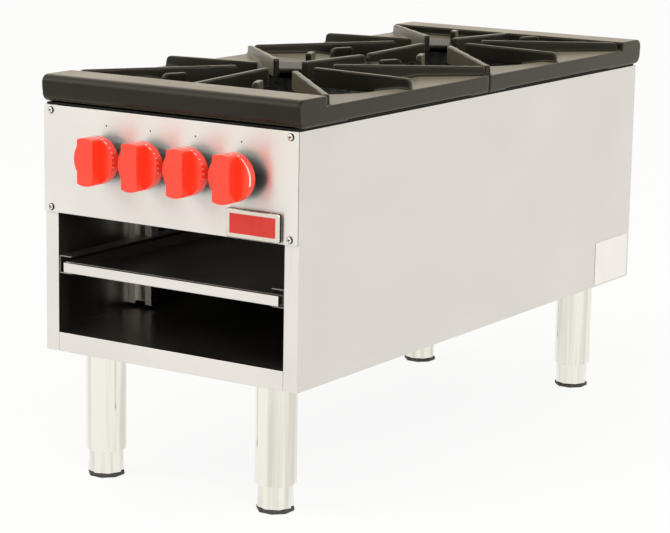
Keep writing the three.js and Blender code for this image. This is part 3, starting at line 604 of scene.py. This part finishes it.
class RangeIronSettings(bpy.types.PropertyGroup):
    """The cast grates."""

    coat_roughness: FloatProperty(
        name="Coat roughness",
        description="Gloss of the baked coat on the grates",
        default=0.3,
        min=0.1,
        max=0.9,
        subtype="FACTOR",
    )
    grain_depth: FloatProperty(
        name="Sand grain",
        description="Depth of the casting grain, in millimetres",
        default=0.11,
        min=0.0,
        max=0.5,
    )
    casting_detail: FloatProperty(
        name="Casting detail",
        description="Smallest form kept when the casting's edges and corners are rounded",
        default=1.6 * MM,
        min=1 * MM,
        max=4 * MM,
        unit="LENGTH",
    )


class RangeKnobSettings(bpy.types.PropertyGroup):
    """The control knobs."""

    colour: FloatVectorProperty(
        name="Knob colour",
        description="Colour of the moulded knobs",
        default=srgb("#FF3C1D")[:3],
        min=0.0,
        max=1.0,
        subtype="COLOR",
    )
    edge_radius: FloatProperty(
        name="Edge radius",
        description="Rounding of the moulded edges",
        default=1.1 * MM,
        min=0.3 * MM,
        max=2.5 * MM,
        unit="LENGTH",
    )
    grip_height: FloatProperty(
        name="Grip height",
        description="Front of the grip bar to the floor of the finger recesses",
        default=19 * MM,
        min=5 * MM,
        max=25 * MM,
        unit="LENGTH",
    )
    grip_width: FloatProperty(
        name="Grip width",
        description="Width of the grip bar",
        default=28.6 * MM,
        min=10 * MM,
        max=50 * MM,
        unit="LENGTH",
    )


class RangeStageSettings(bpy.types.PropertyGroup):
    """Camera and light."""

    target: FloatVectorProperty(
        name="Target",
        description="Point that the camera looks at",
        default=(0.1777, -0.3295, 0.34456),
        unit="LENGTH",
    )
    azimuth: FloatProperty(
        name="Azimuth",
        description="Camera direction, from straight ahead towards the right side",
        default=math.radians(32.988),
        subtype="ANGLE",
    )
    elevation: FloatProperty(
        name="Elevation",
        description="Camera height above the horizon, seen from the target",
        default=math.radians(11.511),
        subtype="ANGLE",
    )
    roll: FloatProperty(
        name="Roll",
        description="Turn of the camera about its own line of sight",
        default=math.radians(1.01),
        subtype="ANGLE",
    )
    distance: FloatProperty(
        name="Distance",
        description="Camera to target",
        default=3.50759,
        min=0.5,
        unit="LENGTH",
    )
    lens: FloatProperty(
        name="Lens",
        description="Focal length on a 36 mm wide sensor, in millimetres",
        default=129.12,
        min=10.0,
    )
    world_light: FloatProperty(
        name="World light",
        description="Strength of the even light from all around",
        default=0.8,
        min=0.0,
    )
    key_light: FloatProperty(
        name="Key light",
        description="Power of the large soft light above the front left, in watts",
        default=32.0,
        min=0.0,
    )
    fill_light: FloatProperty(
        name="Fill light",
        description="Power of the soft light on the right, in watts",
        default=36.0,
        min=0.0,
    )


# ---------------------------------------------------------------- pieces


class RANGE_OT_cabinet(bpy.types.Operator):
    """Dress the cabinet's sheet metal, with folded edges; brushed outside, mill finish with
    painted shade inside
    """

    bl_idname = "range.cabinet"
    bl_label = "Cabinet"

    def execute(self, context):
        fold = context.scene.range_metal.fold_radius
        # Faces off the outer skin, or off the front, get the mill finish darkened as painted
        # shade.
        for node in ("left_side_panel", "right_side_panel"):
            dress(node, "brushed", fold, "mill_shaded", outer_skin(node))
        for node in ("control_panel", "bottom_pan"):
            dress(node, "brushed", fold, "mill_shaded", front_skin(node))
        for node in ("back_panel", "cross_channel", "valve_heat_shield"):
            dress(node, "zinc", fold)
        # A face round two windows can't be made whole: it would close one of them.
        dress("top_frame", "enamel", fold, whole=False)
        return {"FINISHED"}


class RANGE_OT_tray(bpy.types.Operator):
    """Dress the drip tray, its runners and the uprights of the bay, all of thinner sheet"""

    bl_idname = "range.tray"
    bl_label = "Drip tray and runners"

    def execute(self, context):
        fold = context.scene.range_metal.fold_radius * 0.8
        # Inner faces of the tray and the runners get the mill finish darkened as painted shade.
        dress("drip_tray", "brushed", fold, "mill_shaded", front_skin("drip_tray"))
        for side in SIDES:
            dress(side + "_tray_runner", "mill_shaded", fold)
            dress(side + "_upright", "brushed", fold)
        return {"FINISHED"}


class RANGE_OT_grates(bpy.types.Operator):
    """Round the edges and inner corners of the cast grates, as sand casting leaves them"""

    bl_idname = "range.grates"
    bl_label = "Cast grates"

    def execute(self, context):
        detail = context.scene.range_iron.casting_detail
        for node in ("front_grate", "rear_grate"):
            steps = [
                ("REMESH", {"mode": "VOXEL", "voxel_size": detail, "use_smooth_shade": True}),
                ("SMOOTH", {"factor": 0.5, "iterations": 4}),
                ("DECIMATE", {"decimate_type": "COLLAPSE", "ratio": 0.35}),
            ]
            mesh = settle(mesh_from(bare_copy(node), node), steps)
            mesh.shade_smooth()
            finish_piece("cast_" + node, mesh, ["iron"], node)
        return {"FINISHED"}


class RANGE_OT_burners(bpy.types.Operator):
    """Dress the cast ring burners and their support bars"""

    bl_idname = "range.burners"
    bl_label = "Burners"

    def execute(self, context):
        for node in ("front_burner", "rear_burner"):
            mesh = eased(mesh_from(bare_copy(node), node), CAST_EDGE)
            finish_piece("cast_" + node, mesh, ["burner"], node)
        for name in ("front_burner_bar", "rear_burner_bar"):
            for number in (1, 2):
                dress(f"{name}_{number}", "zinc", PRESSED_EDGE)
        return {"FINISHED"}


class RANGE_OT_gas_train(bpy.types.Operator):
    """Dress the gas manifold, valves, stems, tubes, orifices and pilots"""

    bl_idname = "range.gas_train"
    bl_label = "Gas train"

    def execute(self, context):
        dress("gas_manifold", "zinc", PIPE_EDGE)
        dress("gas_inlet_pipe", "zinc", ELBOW_EDGE)
        for number in KNOBS:
            dress(f"gas_valve_{number}", "brass", PIPE_EDGE)
            dress(f"valve_stem_{number}", "brass", STEM_EDGE)
        for number in (1, 2):
            dress(f"rear_supply_tube_{number}", "brass", TURNED_EDGE)
            dress(f"rear_orifice_{number}", "brass", TURNED_EDGE)
        for name in ("front_pilot", "rear_pilot"):
            dress(name, "brass", TURNED_EDGE)
        return {"FINISHED"}


KNOB_WALL = 3 * MM
KNOB_RIM = 1.5 * MM  # height of the chamfer on the back edge of the skirt
KNOB_CHAMFER = 1 * MM  # width of that chamfer
KNOB_HUB = 8 * MM
KNOB_BORE = 3.3 * MM
# Steps along each finger recess and along each end of the grip bar.
RECESS_STEPS = 44
GRIP_STEPS = 12


def knob_body(radius, back, floor, front, half_grip):
    """A knob about +Z: a round skirt, and a grip bar left standing between two finger recesses.

    The heights are those of its back edge, of the recesses' floor and of the grip's front.
    """
    bm = bmesh.new()
    corner = math.asin(half_grip / radius)
    quarter = math.pi / 2
    # Angles run from the left end of the grip's top arc, clockwise seen from the front.
    spans = [
        (quarter + corner, quarter - corner, GRIP_STEPS),
        (quarter - corner, -quarter + corner, RECESS_STEPS),
        (-quarter + corner, -quarter - corner, GRIP_STEPS),
        (-quarter - corner, -3 * quarter + corner, RECESS_STEPS),
    ]
    angles = []
    for first, last, count in spans:
        angles += [first + (last - first) * k / count for k in range(count)]

    def ring(r, z):
        return [polar_vertex(bm, r, angle, z) for angle in angles]

    skirt_floor = ring(radius, floor)
    ceiling = floor - KNOB_WALL
    profile = [
        skirt_floor,
        ring(radius, back + KNOB_RIM),
        ring(radius - KNOB_CHAMFER, back),
        ring(radius - KNOB_WALL, back),
        ring(radius - KNOB_WALL, ceiling),
        ring(KNOB_HUB, ceiling),
        ring(KNOB_HUB, back),
        ring(KNOB_BORE, back),
        ring(KNOB_BORE, ceiling),
    ]
    skin_over(bm, profile, capped=False)
    bm.faces.new(profile[-1])

    half = GRIP_STEPS + RECESS_STEPS
    top = list(range(GRIP_STEPS + 1))
    right = list(range(GRIP_STEPS, half + 1))
    bottom = list(range(half, half + GRIP_STEPS + 1))
    left = [k % len(angles) for k in range(half + GRIP_STEPS, 2 * half + 1)]
    raised = {k: polar_vertex(bm, radius, angles[k], front) for k in top + bottom}
    for arc in (top, bottom):
        for a, b in zip(arc, arc[1:]):
            bm.faces.new((skirt_floor[a], skirt_floor[b], raised[b], raised[a]))
    for arc in (right, left):
        bm.faces.new([skirt_floor[k] for k in arc])
        a, b = arc[0], arc[-1]
        bm.faces.new((skirt_floor[a], skirt_floor[b], raised[b], raised[a]))
    bm.faces.new([raised[k] for k in top + bottom])
    return bm


def in_painted_shade(at, radius, back, floor):
    """Tells whether a point of a knob about +Z lies in painted shade: back rim or skirt's inside.
    """
    if at.z < back + KNOB_RIM + SLACK:
        return True
    ceiling = floor - KNOB_WALL + SLACK
    return math.hypot(at.x, at.y) < radius - KNOB_WALL + SLACK and at.z < ceiling


MARK_RISE = 0.06 * MM  # height of the white marks above the skirt
# White marks on a skirt, print and painted highlight: first and last angle from the top, towards
# the right, in degrees, then their near and far reach behind the front edge of the skirt, in
# millimetres, at the first and at the last angle.
OFF_MARKS = (
    (-7, 7, 1.8, 4.2, 1.8, 4.2),
    (22, 25, 1.6, 6.0, 1.6, 6.0),
    (34, 42, 2.0, 4.0, 2.0, 4.0),
)
TICK_MARKS = tuple((a, a + 2.2, 2.0, 5.4, 2.0, 5.4) for a in (52, 64, 76, 88, 100))
# The arc on the last knob is a painted highlight along the front edge of its skirt.
HIGHLIGHT_ARC = ((40, 104, 1.8, 3.2, 1.6, 5.6),)


def skirt_marks(radius, edge, marks):
    """White marks that lie on the skirt of a knob about +Z, as thin raised ink: print and painted
    highlight.
    """
    bm = bmesh.new()
    low, high = radius - MARK_RISE, radius + MARK_RISE
    for first, last, near_first, far_first, near_last, far_last in marks:
        steps = max(1, round((last - first) / 4))
        columns = []
        for k in range(steps + 1):
            share = k / steps
            angle = math.pi / 2 - math.radians(first + (last - first) * share)
            near = edge - (near_first + (near_last - near_first) * share) * MM
            far = edge - (far_first + (far_last - far_first) * share) * MM
            spots = ((low, far), (high, far), (high, near), (low, near))
            columns.append([polar_vertex(bm, r, angle, z) for r, z in spots])
        skin_over(bm, columns)
    return bm


class RANGE_OT_knobs(bpy.types.Operator):
    """Mould the control knobs, with a grip bar between finger recesses, printed ticks and a
    painted highlight
    """

    bl_idname = "range.knobs"
    bl_label = "Control knobs"

    def execute(self, context):
        look = context.scene.range_knob
        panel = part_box("control_panel")[0].y
        for number in KNOBS:
            node = f"knob_{number}"
            low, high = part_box(node)
            radius = (high.z - low.z) / 2
            back = panel - high.y
            front = panel - low.y
            floor = front - look.grip_height
            centre = middle_of(low, high)
            centre.y = panel
            place = Matrix.Translation(centre) @ facing_front()
            bm = knob_body(radius, back, floor, front, look.grip_width / 2)
            mesh = eased(mesh_from(bm, node), look.edge_radius, 3, outer_only=True)
            # Black painted shade on the back rim and inside the skirt darkens their reflection in
            # the panel.
            back_shade = [in_painted_shade(face.center, radius, back, floor) for face in mesh.polygons]
            mesh.transform(place)
            finish_piece("moulded_" + node, mesh, ["phenolic", "painted_shade"], node, second=back_shade)
            name = node + "_marks"
            # Only the last knob gets the painted highlight arc.
            marks = OFF_MARKS + (HIGHLIGHT_ARC if number == KNOBS[-1] else TICK_MARKS)
            white_marks = mesh_from(skirt_marks(radius, floor, marks), name, smooth=False)
            white_marks.transform(place)
            finish_piece(name, white_marks, ["print_and_highlight"], body=body_of(node))
        return {"FINISHED"}


LEG_BORE = 26.3 * MM
LEG_STEPS = 96
FOOT_SHANK = 26 * MM
FOOT_CORNER = 27.2 * MM
FOOT_FLATS = 10 * MM  # height over which the foot is an octagon
FOOT_FADE = 8 * MM  # height over which the octagon turns into the round shank
FADE_STEPS = 6


def octagon_reach(angle):
    """Distance from the middle to the side of the foot's octagon, in a direction."""
    step = math.pi / 4
    within = (angle % step) - step / 2
    return FOOT_CORNER * math.cos(step / 2) / math.cos(within)


class RANGE_OT_legs(bpy.types.Operator):
    """Turn the leg tubes, adjustable feet and pads, and dress the sockets"""

    bl_idname = "range.legs"
    bl_label = "Legs"

    def execute(self, context):
        for corner in CORNERS:
            self.tube(corner + "_leg_tube")
            self.foot(corner + "_foot")
            self.pad(corner + "_foot_pad")
            dress(corner + "_leg_socket", "zinc", PRESSED_EDGE)
        return {"FINISHED"}

    @staticmethod
    def tube(node):
        """A tube whose lower end is rolled in a little."""
        low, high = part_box(node)
        outer = (high.x - low.x) / 2
        profile = [
            (LEG_BORE, low.z + 0.5 * MM),
            (LEG_BORE + 0.5 * MM, low.z),
            (outer - 1.6 * MM, low.z),
            (outer - 1.2 * MM, low.z + 0.2 * MM),
            (outer - 0.2 * MM, low.z + 2.2 * MM),
            (outer, low.z + 3.0 * MM),
            (outer, high.z),
            (LEG_BORE, high.z),
        ]
        bm = bmesh.new()
        lathe(bm, profile, LEG_STEPS, middle_of(low, high), closed=True)
        mesh = mesh_from(bm, node)
        mesh.set_sharp_from_angle(angle=math.radians(35))
        finish_piece("turned_" + node, mesh, ["polished"], node)

    @staticmethod
    def foot(node):
        """An octagon that fades into a round shank with a chamfered top."""
        low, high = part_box(node)
        centre = middle_of(low, high)
        start = math.pi / LEG_STEPS
        chamfer = 3 * MM
        heights = [0, 0.4 * MM, FOOT_FLATS / 2, FOOT_FLATS]
        heights += [FOOT_FLATS + FOOT_FADE * k / FADE_STEPS for k in range(1, FADE_STEPS + 1)]
        bm = bmesh.new()
        rings = []
        for height in heights:
            share = min(1.0, max(0.0, (height - FOOT_FLATS) / FOOT_FADE))
            share = share * share * (3 - 2 * share)
            ease = 0.5 * MM if height == 0 else 0.0
            ring = []
            for angle in ring_angles(LEG_STEPS, start):
                reach = octagon_reach(angle) * (1 - share) + FOOT_SHANK * share - ease
                ring.append(polar_vertex(bm, reach, angle, low.z + height, centre))
            rings.append(ring)
        for radius, z in ((FOOT_SHANK, high.z - chamfer), (FOOT_SHANK - chamfer, high.z)):
            rings.append(ring_of(bm, radius, z, LEG_STEPS, centre, start))
        skin_over(bm, rings)
        mesh = mesh_from(bm, node)
        mesh.set_sharp_from_angle(angle=math.radians(25))
        finish_piece("turned_" + node, mesh, ["polished"], node)

    @staticmethod
    def pad(node):
        """An octagonal pad with chamfered edges."""
        low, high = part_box(node)
        corner = (high.x - low.x) / 2 / math.cos(math.pi / 8)
        profile = [
            (corner - 1 * MM, low.z),
            (corner, low.z + 1.5 * MM),
            (corner, high.z - 0.6 * MM),
            (corner - 0.6 * MM, high.z),
        ]
        bm = bmesh.new()
        lathe(bm, profile, 8, middle_of(low, high), start=math.pi / 8)
        mesh = eased(mesh_from(bm, node), 0.3 * MM)
        finish_piece("moulded_" + node, mesh, ["rubber"], node)


def rounded_ring(bm, half_x, half_y, z, radius):
    """A ring of vertices along a rectangle with round corners."""
    steps = 6
    ring = []
    for quarter, (sx, sy) in enumerate(((1, 1), (-1, 1), (-1, -1), (1, -1))):
        for k in range(steps + 1):
            angle = math.pi / 2 * (quarter + k / steps)
            x = sx * (half_x - radius) + radius * math.cos(angle)
            y = sy * (half_y - radius) + radius * math.sin(angle)
            ring.append(bm.verts.new((x, y, z)))
    return ring


def rounded_plate(name, half_x, half_y, profile, ease):
    """A plate with round corners; each step of its profile is inset, height and corner radius."""
    bm = bmesh.new()
    rings = [rounded_ring(bm, half_x - inset, half_y - inset, z, r) for inset, z, r in profile]
    skin_over(bm, rings)
    return eased(mesh_from(bm, name), ease)


BADGE_BORDER = 6.5 * MM
BADGE_RISE = 1.2 * MM  # width and height of the frame's bevelled outer edge
BADGE_RECESS = 0.8 * MM  # depth of the well that holds the field
FIELD_THICKNESS = 0.45 * MM
FIELD_GAP = 0.05 * MM


class RANGE_OT_badge_and_label(bpy.types.Operator):
    """Make the blank badge with its enamelled field, and the blank data label"""

    bl_idname = "range.badge_and_label"
    bl_label = "Badge and label"

    def execute(self, context):
        self.badge()
        self.label()
        return {"FINISHED"}

    @staticmethod
    def badge():
        """A bevelled frame with sides in black painted shade, and a red field in its well."""
        low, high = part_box("badge_plate")
        half_x = (high.x - low.x) / 2
        half_z = (high.z - low.z) / 2
        thick = high.y - low.y
        shoulder = thick - BADGE_RISE
        well = thick - BADGE_RECESS
        centre = middle_of(low, high)
        centre.y = high.y
        place = Matrix.Translation(centre) @ facing_front()
        profile = [
            (0, 0, 3.5 * MM),
            (0, shoulder, 3.5 * MM),
            (BADGE_RISE, thick, 2 * MM),
            (BADGE_BORDER, thick, 1 * MM),
            (BADGE_BORDER, well, 1 * MM),
        ]
        mesh = rounded_plate("badge_frame", half_x, half_z, profile, 0.35 * MM)
        # The sides below the bevel get black painted shade, for the dark reflection on the badge's
        # edge.
        sides = [abs(f.normal.z) < 0.2 and f.center.z < shoulder for f in mesh.polygons]
        mesh.transform(place)
        finish_piece("badge_frame", mesh, ["nickel", "painted_shade"], "badge_plate", second=sides)
        inset = BADGE_BORDER + FIELD_GAP
        profile = [(inset, well, 0.8 * MM), (inset, well + FIELD_THICKNESS, 0.8 * MM)]
        field = rounded_plate("badge_field", half_x, half_z, profile, 0.15 * MM)
        field.transform(place)
        finish_piece("badge_field", field, ["badge_red"], body="cabinet")

    @staticmethod
    def label():
        """A thin film with round corners on the right side panel."""
        low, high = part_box("data_label")
        half_y = (high.y - low.y) / 2
        half_z = (high.z - low.z) / 2
        profile = [(0, 0, 2.5 * MM), (0, high.x - low.x, 2.5 * MM)]
        mesh = rounded_plate("label_film", half_y, half_z, profile, 0.08 * MM)
        # Turns the plate so that it lies along Y and Z and points to +X.
        turn = Matrix(((0, 0, 1, 0), (1, 0, 0, 0), (0, 1, 0, 0), (0, 0, 0, 1)))
        centre = middle_of(low, high)
        centre.x = low.x
        mesh.transform(Matrix.Translation(centre) @ turn)
        finish_piece("label_film", mesh, ["film"], "data_label")


PANEL_SCREW = 4.9 * MM  # radius of the heads
RUNNER_SCREW = 4.0 * MM
SCREW_HEIGHT = 2.8 * MM
SCREW_GAP = 0.1 * MM  # how far a screw's rim stands off the sheet, so that none share a face
PANEL_SCREW_INSET = 13.1 * MM
PANEL_SCREW_DROP = 7.8 * MM
RUNNER_WEB = 201.2 * MM  # inner face of a runner's web, from the middle of the range
RUNNER_SCREW_INSET = 9.2 * MM
CROSS_REACH = 0.56  # of the head's radius


def screw_mesh(head):
    """A pan-head screw about +Z with a cross recess, its head's underside at 0."""
    steps = 6
    rim = head + 0.5 * MM
    edge = 0.35  # share of the height that the side of the head takes, below its dome
    profile = [(rim, 0.0), (rim, 0.3 * MM), (head, 0.3 * MM), (head, SCREW_HEIGHT * edge)]
    for k in range(1, steps + 1):
        angle = math.pi / 2 * k / steps
        radius = max(head * math.cos(angle), head * 0.05)
        profile.append((radius, SCREW_HEIGHT * (edge + (1 - edge) * math.sin(angle))))
    bm = bmesh.new()
    lathe(bm, profile, 32)
    mesh = mesh_from(bm, "screw")
    # One prism in the form of a plus sign: with two crossing boxes the Boolean loses the head.
    near, far = head * 0.13, head * CROSS_REACH
    corners = []
    for quarter in range(4):
        arm = Matrix.Rotation(math.radians(90 * quarter + 20), 2)
        corners += [arm @ Vector(spot) for spot in ((near, -near), (far, -near), (far, near))]
    cutter = bmesh.new()
    heights = (SCREW_HEIGHT * 0.45, SCREW_HEIGHT * 2)
    skin_over(cutter, [[cutter.verts.new((*spot, z)) for spot in corners] for z in heights])
    tool = bpy.data.objects.new("cross", mesh_from(cutter, "cross", smooth=False))
    bpy.context.scene.collection.objects.link(tool)
    cut = {"operation": "DIFFERENCE", "object": tool, "solver": "EXACT"}
    mesh = settle(mesh, [("BOOLEAN", cut)])
    bpy.data.objects.remove(tool)
    mesh.set_sharp_from_angle(angle=math.radians(40))
    return mesh


def shaded_part(at, head):
    """Tells whether a point of a screw is in its rim or its cross recess, both in painted shade.
    """
    middle = math.hypot(at.x, at.y)
    in_cross = middle < head * CROSS_REACH and at.z < SCREW_HEIGHT * 0.8
    return middle > head * 0.9 or in_cross


class RANGE_OT_screws(bpy.types.Operator):
    """Fit the pan-head screws of the control panel and of the tray runners"""

    bl_idname = "range.screws"
    bl_label = "Screws"

    def execute(self, context):
        low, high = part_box("control_panel")
        number = 0
        for x in (low.x + PANEL_SCREW_INSET, high.x - PANEL_SCREW_INSET):
            for z in (high.z - PANEL_SCREW_DROP, low.z + PANEL_SCREW_DROP):
                number += 1
                place = Matrix.Translation((x, low.y - SCREW_GAP, z)) @ facing_front()
                # Each stopped at its own angle when it was driven in.
                place = place @ Matrix.Rotation(math.radians(23 * number), 4, "Z")
                self.fit(f"panel_screw_{number}", place, PANEL_SCREW)
        for side in SIDES:
            low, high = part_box(side + "_tray_runner")
            sign = -1 if side == "left" else 1
            x = sign * (RUNNER_WEB - SCREW_GAP)
            spot = (x, low.y + RUNNER_SCREW_INSET, (low.z + high.z) / 2)
            turn = Matrix.Rotation(math.radians(-90 * sign), 4, "Y")
            self.fit(f"{side}_runner_screw", Matrix.Translation(spot) @ turn, RUNNER_SCREW)
        return {"FINISHED"}

    @staticmethod
    def fit(name, place, head):
        """Makes one screw and puts it in its place."""
        mesh = screw_mesh(head)
        # The rim and the cross recess get black painted shade; the dome stays polished.
        shaded_faces = [shaded_part(face.center, head) for face in mesh.polygons]
        mesh.transform(place)
        finishes = ["polished", "painted_shade"]
        finish_piece(name, mesh, finishes, body="cabinet", second=shaded_faces)


# ---------------------------------------------------------------- stage


# Widths and places of the two lamps, which both aim at the middle of the range.
LAMP_TARGET = (0, 0, 0.35)
KEY_SPOT, KEY_WIDTH = (-1.9, -2.6, 2.6), 2.4
FILL_SPOT, FILL_WIDTH = (2.6, -2.2, 1.6), 1.6
FLOOR_REACH = 9.0
FLOOR_DROP = 0.2 * MM  # keeps the floor off the undersides of the pads
FLOOR_GLOW = 0.88  # share of its own light in the floor that the camera and metal see


def seen_rays(tree):
    """1 for rays from the camera and for those that metal or glass send on, 0 for soft light."""
    path = add_node(tree, "ShaderNodeLightPath").outputs
    seen = path["Is Camera Ray"]
    for kind in ("Is Glossy Ray", "Is Transmission Ray"):
        links = {0: seen, 1: path[kind]}
        seen = add_node(tree, "ShaderNodeMath", {"operation": "MAXIMUM"}, links).outputs[0]
    return seen


def floor_material():
    """Seamless white studio floor: blends into the white backdrop and keeps a faint shadow."""
    material, tree, shader = new_material("Studio floor", {"Roughness": 0.9})
    tone = pattern(tree, 400 * MM, detail=2.0)
    paint(tree, shader, tone, "#FAFAFA", "#FCFCFC")
    glow = add_node(tree, "ShaderNodeEmission", {"Color": (1, 1, 1, 1), "Strength": 1.0})
    share = spread(tree, seen_rays(tree), 0.0, FLOOR_GLOW, 0, 1)
    links = {0: share, 1: shader.outputs["BSDF"], 2: glow.outputs["Emission"]}
    surface = add_node(tree, "ShaderNodeMixShader", None, links)
    tree.links.new(surface.outputs["Shader"], tree.nodes["Material Output"].inputs["Surface"])
    return material


class RANGE_OT_stage(bpy.types.Operator):
    """Set the floor, the camera and the studio light"""

    bl_idname = "range.stage"
    bl_label = "Stage"

    def execute(self, context):
        scene = context.scene
        stage = scene.range_stage
        scene.view_settings.view_transform = "Standard"
        self.floor(scene)
        self.camera(scene, stage)
        self.world(scene, stage)
        self.lamp(scene, "key", KEY_SPOT, KEY_WIDTH, stage.key_light)
        self.lamp(scene, "fill", FILL_SPOT, FILL_WIDTH, stage.fill_light)
        return {"FINISHED"}

    @staticmethod
    def floor(scene):
        """A wide sheet just below the foot pads."""
        bm = bmesh.new()
        bmesh.ops.create_grid(bm, x_segments=8, y_segments=8, size=FLOOR_REACH)
        mesh = mesh_from(bm, "studio_floor")
        mesh.materials.append(floor_material())
        floor = bpy.data.objects.new("studio_floor", mesh)
        floor.location.z = -FLOOR_DROP
        scene.collection.objects.link(floor)

    @staticmethod
    def camera(scene, stage):
        """Looks at the target from a direction and distance, turned about its line of sight."""
        a, e = stage.azimuth, stage.elevation
        back = Vector((math.sin(a) * math.cos(e), -math.cos(a) * math.cos(e), math.sin(e)))
        right = back.cross(Vector((0, 0, -1))).normalized()
        up = back.cross(right)
        turn = Matrix((right, up, back)).transposed().to_4x4()
        turn = turn @ Matrix.Rotation(stage.roll, 4, "Z")
        data = bpy.data.cameras.new("view")
        data.sensor_width = 36
        data.lens = stage.lens
        camera = bpy.data.objects.new("view", data)
        spot = Vector(stage.target) + back * stage.distance
        camera.matrix_world = Matrix.Translation(spot) @ turn
        scene.collection.objects.link(camera)
        scene.camera = camera

    @staticmethod
    def world(scene, stage):
        """Even light from all around: white where it is seen, warm and weaker as soft light."""
        world = bpy.data.worlds.new("studio")
        scene.world = world
        world.use_nodes = True
        tree = world.node_tree
        shader = tree.nodes["Background"]
        backdrop = add_node(tree, "ShaderNodeLightPath").outputs["Is Camera Ray"]
        colour = blend_colours(tree, backdrop, "#FFFAF3", "#FFFFFF")
        tree.links.new(colour, shader.inputs["Color"])
        strength = spread(tree, seen_rays(tree), stage.world_light, 1.0, 0, 1)
        tree.links.new(strength, shader.inputs["Strength"])

    @staticmethod
    def lamp(scene, name, spot, size, power):
        """A square area lamp that aims at the range."""
        data = bpy.data.lights.new(name, "AREA")
        data.size = size
        data.energy = power
        lamp = bpy.data.objects.new(name, data)
        lamp.location = spot
        aim = Vector(LAMP_TARGET) - Vector(spot)
        lamp.rotation_euler = aim.to_track_quat("-Z", "Y").to_euler()
        scene.collection.objects.link(lamp)


# ---------------------------------------------------------------- panel and registration


OPERATORS = (
    RANGE_OT_stage,
    RANGE_OT_cabinet,
    RANGE_OT_tray,
    RANGE_OT_grates,
    RANGE_OT_burners,
    RANGE_OT_gas_train,
    RANGE_OT_knobs,
    RANGE_OT_legs,
    RANGE_OT_badge_and_label,
    RANGE_OT_screws,
)
SETTINGS = {
    "range_metal": RangeMetalSettings,
    "range_iron": RangeIronSettings,
    "range_knob": RangeKnobSettings,
    "range_stage": RangeStageSettings,
}


class RANGE_PT_sidebar(bpy.types.Panel):
    """Sizes, colours and pieces of the range"""

    bl_idname = "RANGE_PT_sidebar"
    bl_label = "Stock Pot Range"
    bl_space_type = "VIEW_3D"
    bl_region_type = "UI"
    bl_category = "Range"

    def draw(self, context):
        for name, group in SETTINGS.items():
            group_box = self.layout.box()
            for prop in group.__annotations__:
                group_box.prop(getattr(context.scene, name), prop)
        for operator in OPERATORS:
            self.layout.operator(operator.bl_idname)


CLASSES = (*SETTINGS.values(), *OPERATORS, RANGE_PT_sidebar)


def register():
    for cls in CLASSES:
        bpy.utils.register_class(cls)
    for name, group in SETTINGS.items():
        setattr(bpy.types.Scene, name, PointerProperty(type=group))


def unregister():
    for name in SETTINGS:
        delattr(bpy.types.Scene, name)
    for cls in reversed(CLASSES):
        bpy.utils.unregister_class(cls)


def main():
    register()
    bpy.ops.range.stage()
    bpy.ops.range.cabinet()
    bpy.ops.range.tray()
    bpy.ops.range.grates()
    bpy.ops.range.burners()
    bpy.ops.range.gas_train()
    bpy.ops.range.knobs()
    bpy.ops.range.legs()
    bpy.ops.range.badge_and_label()
    bpy.ops.range.screws()


if __name__ == "__main__":
    main()
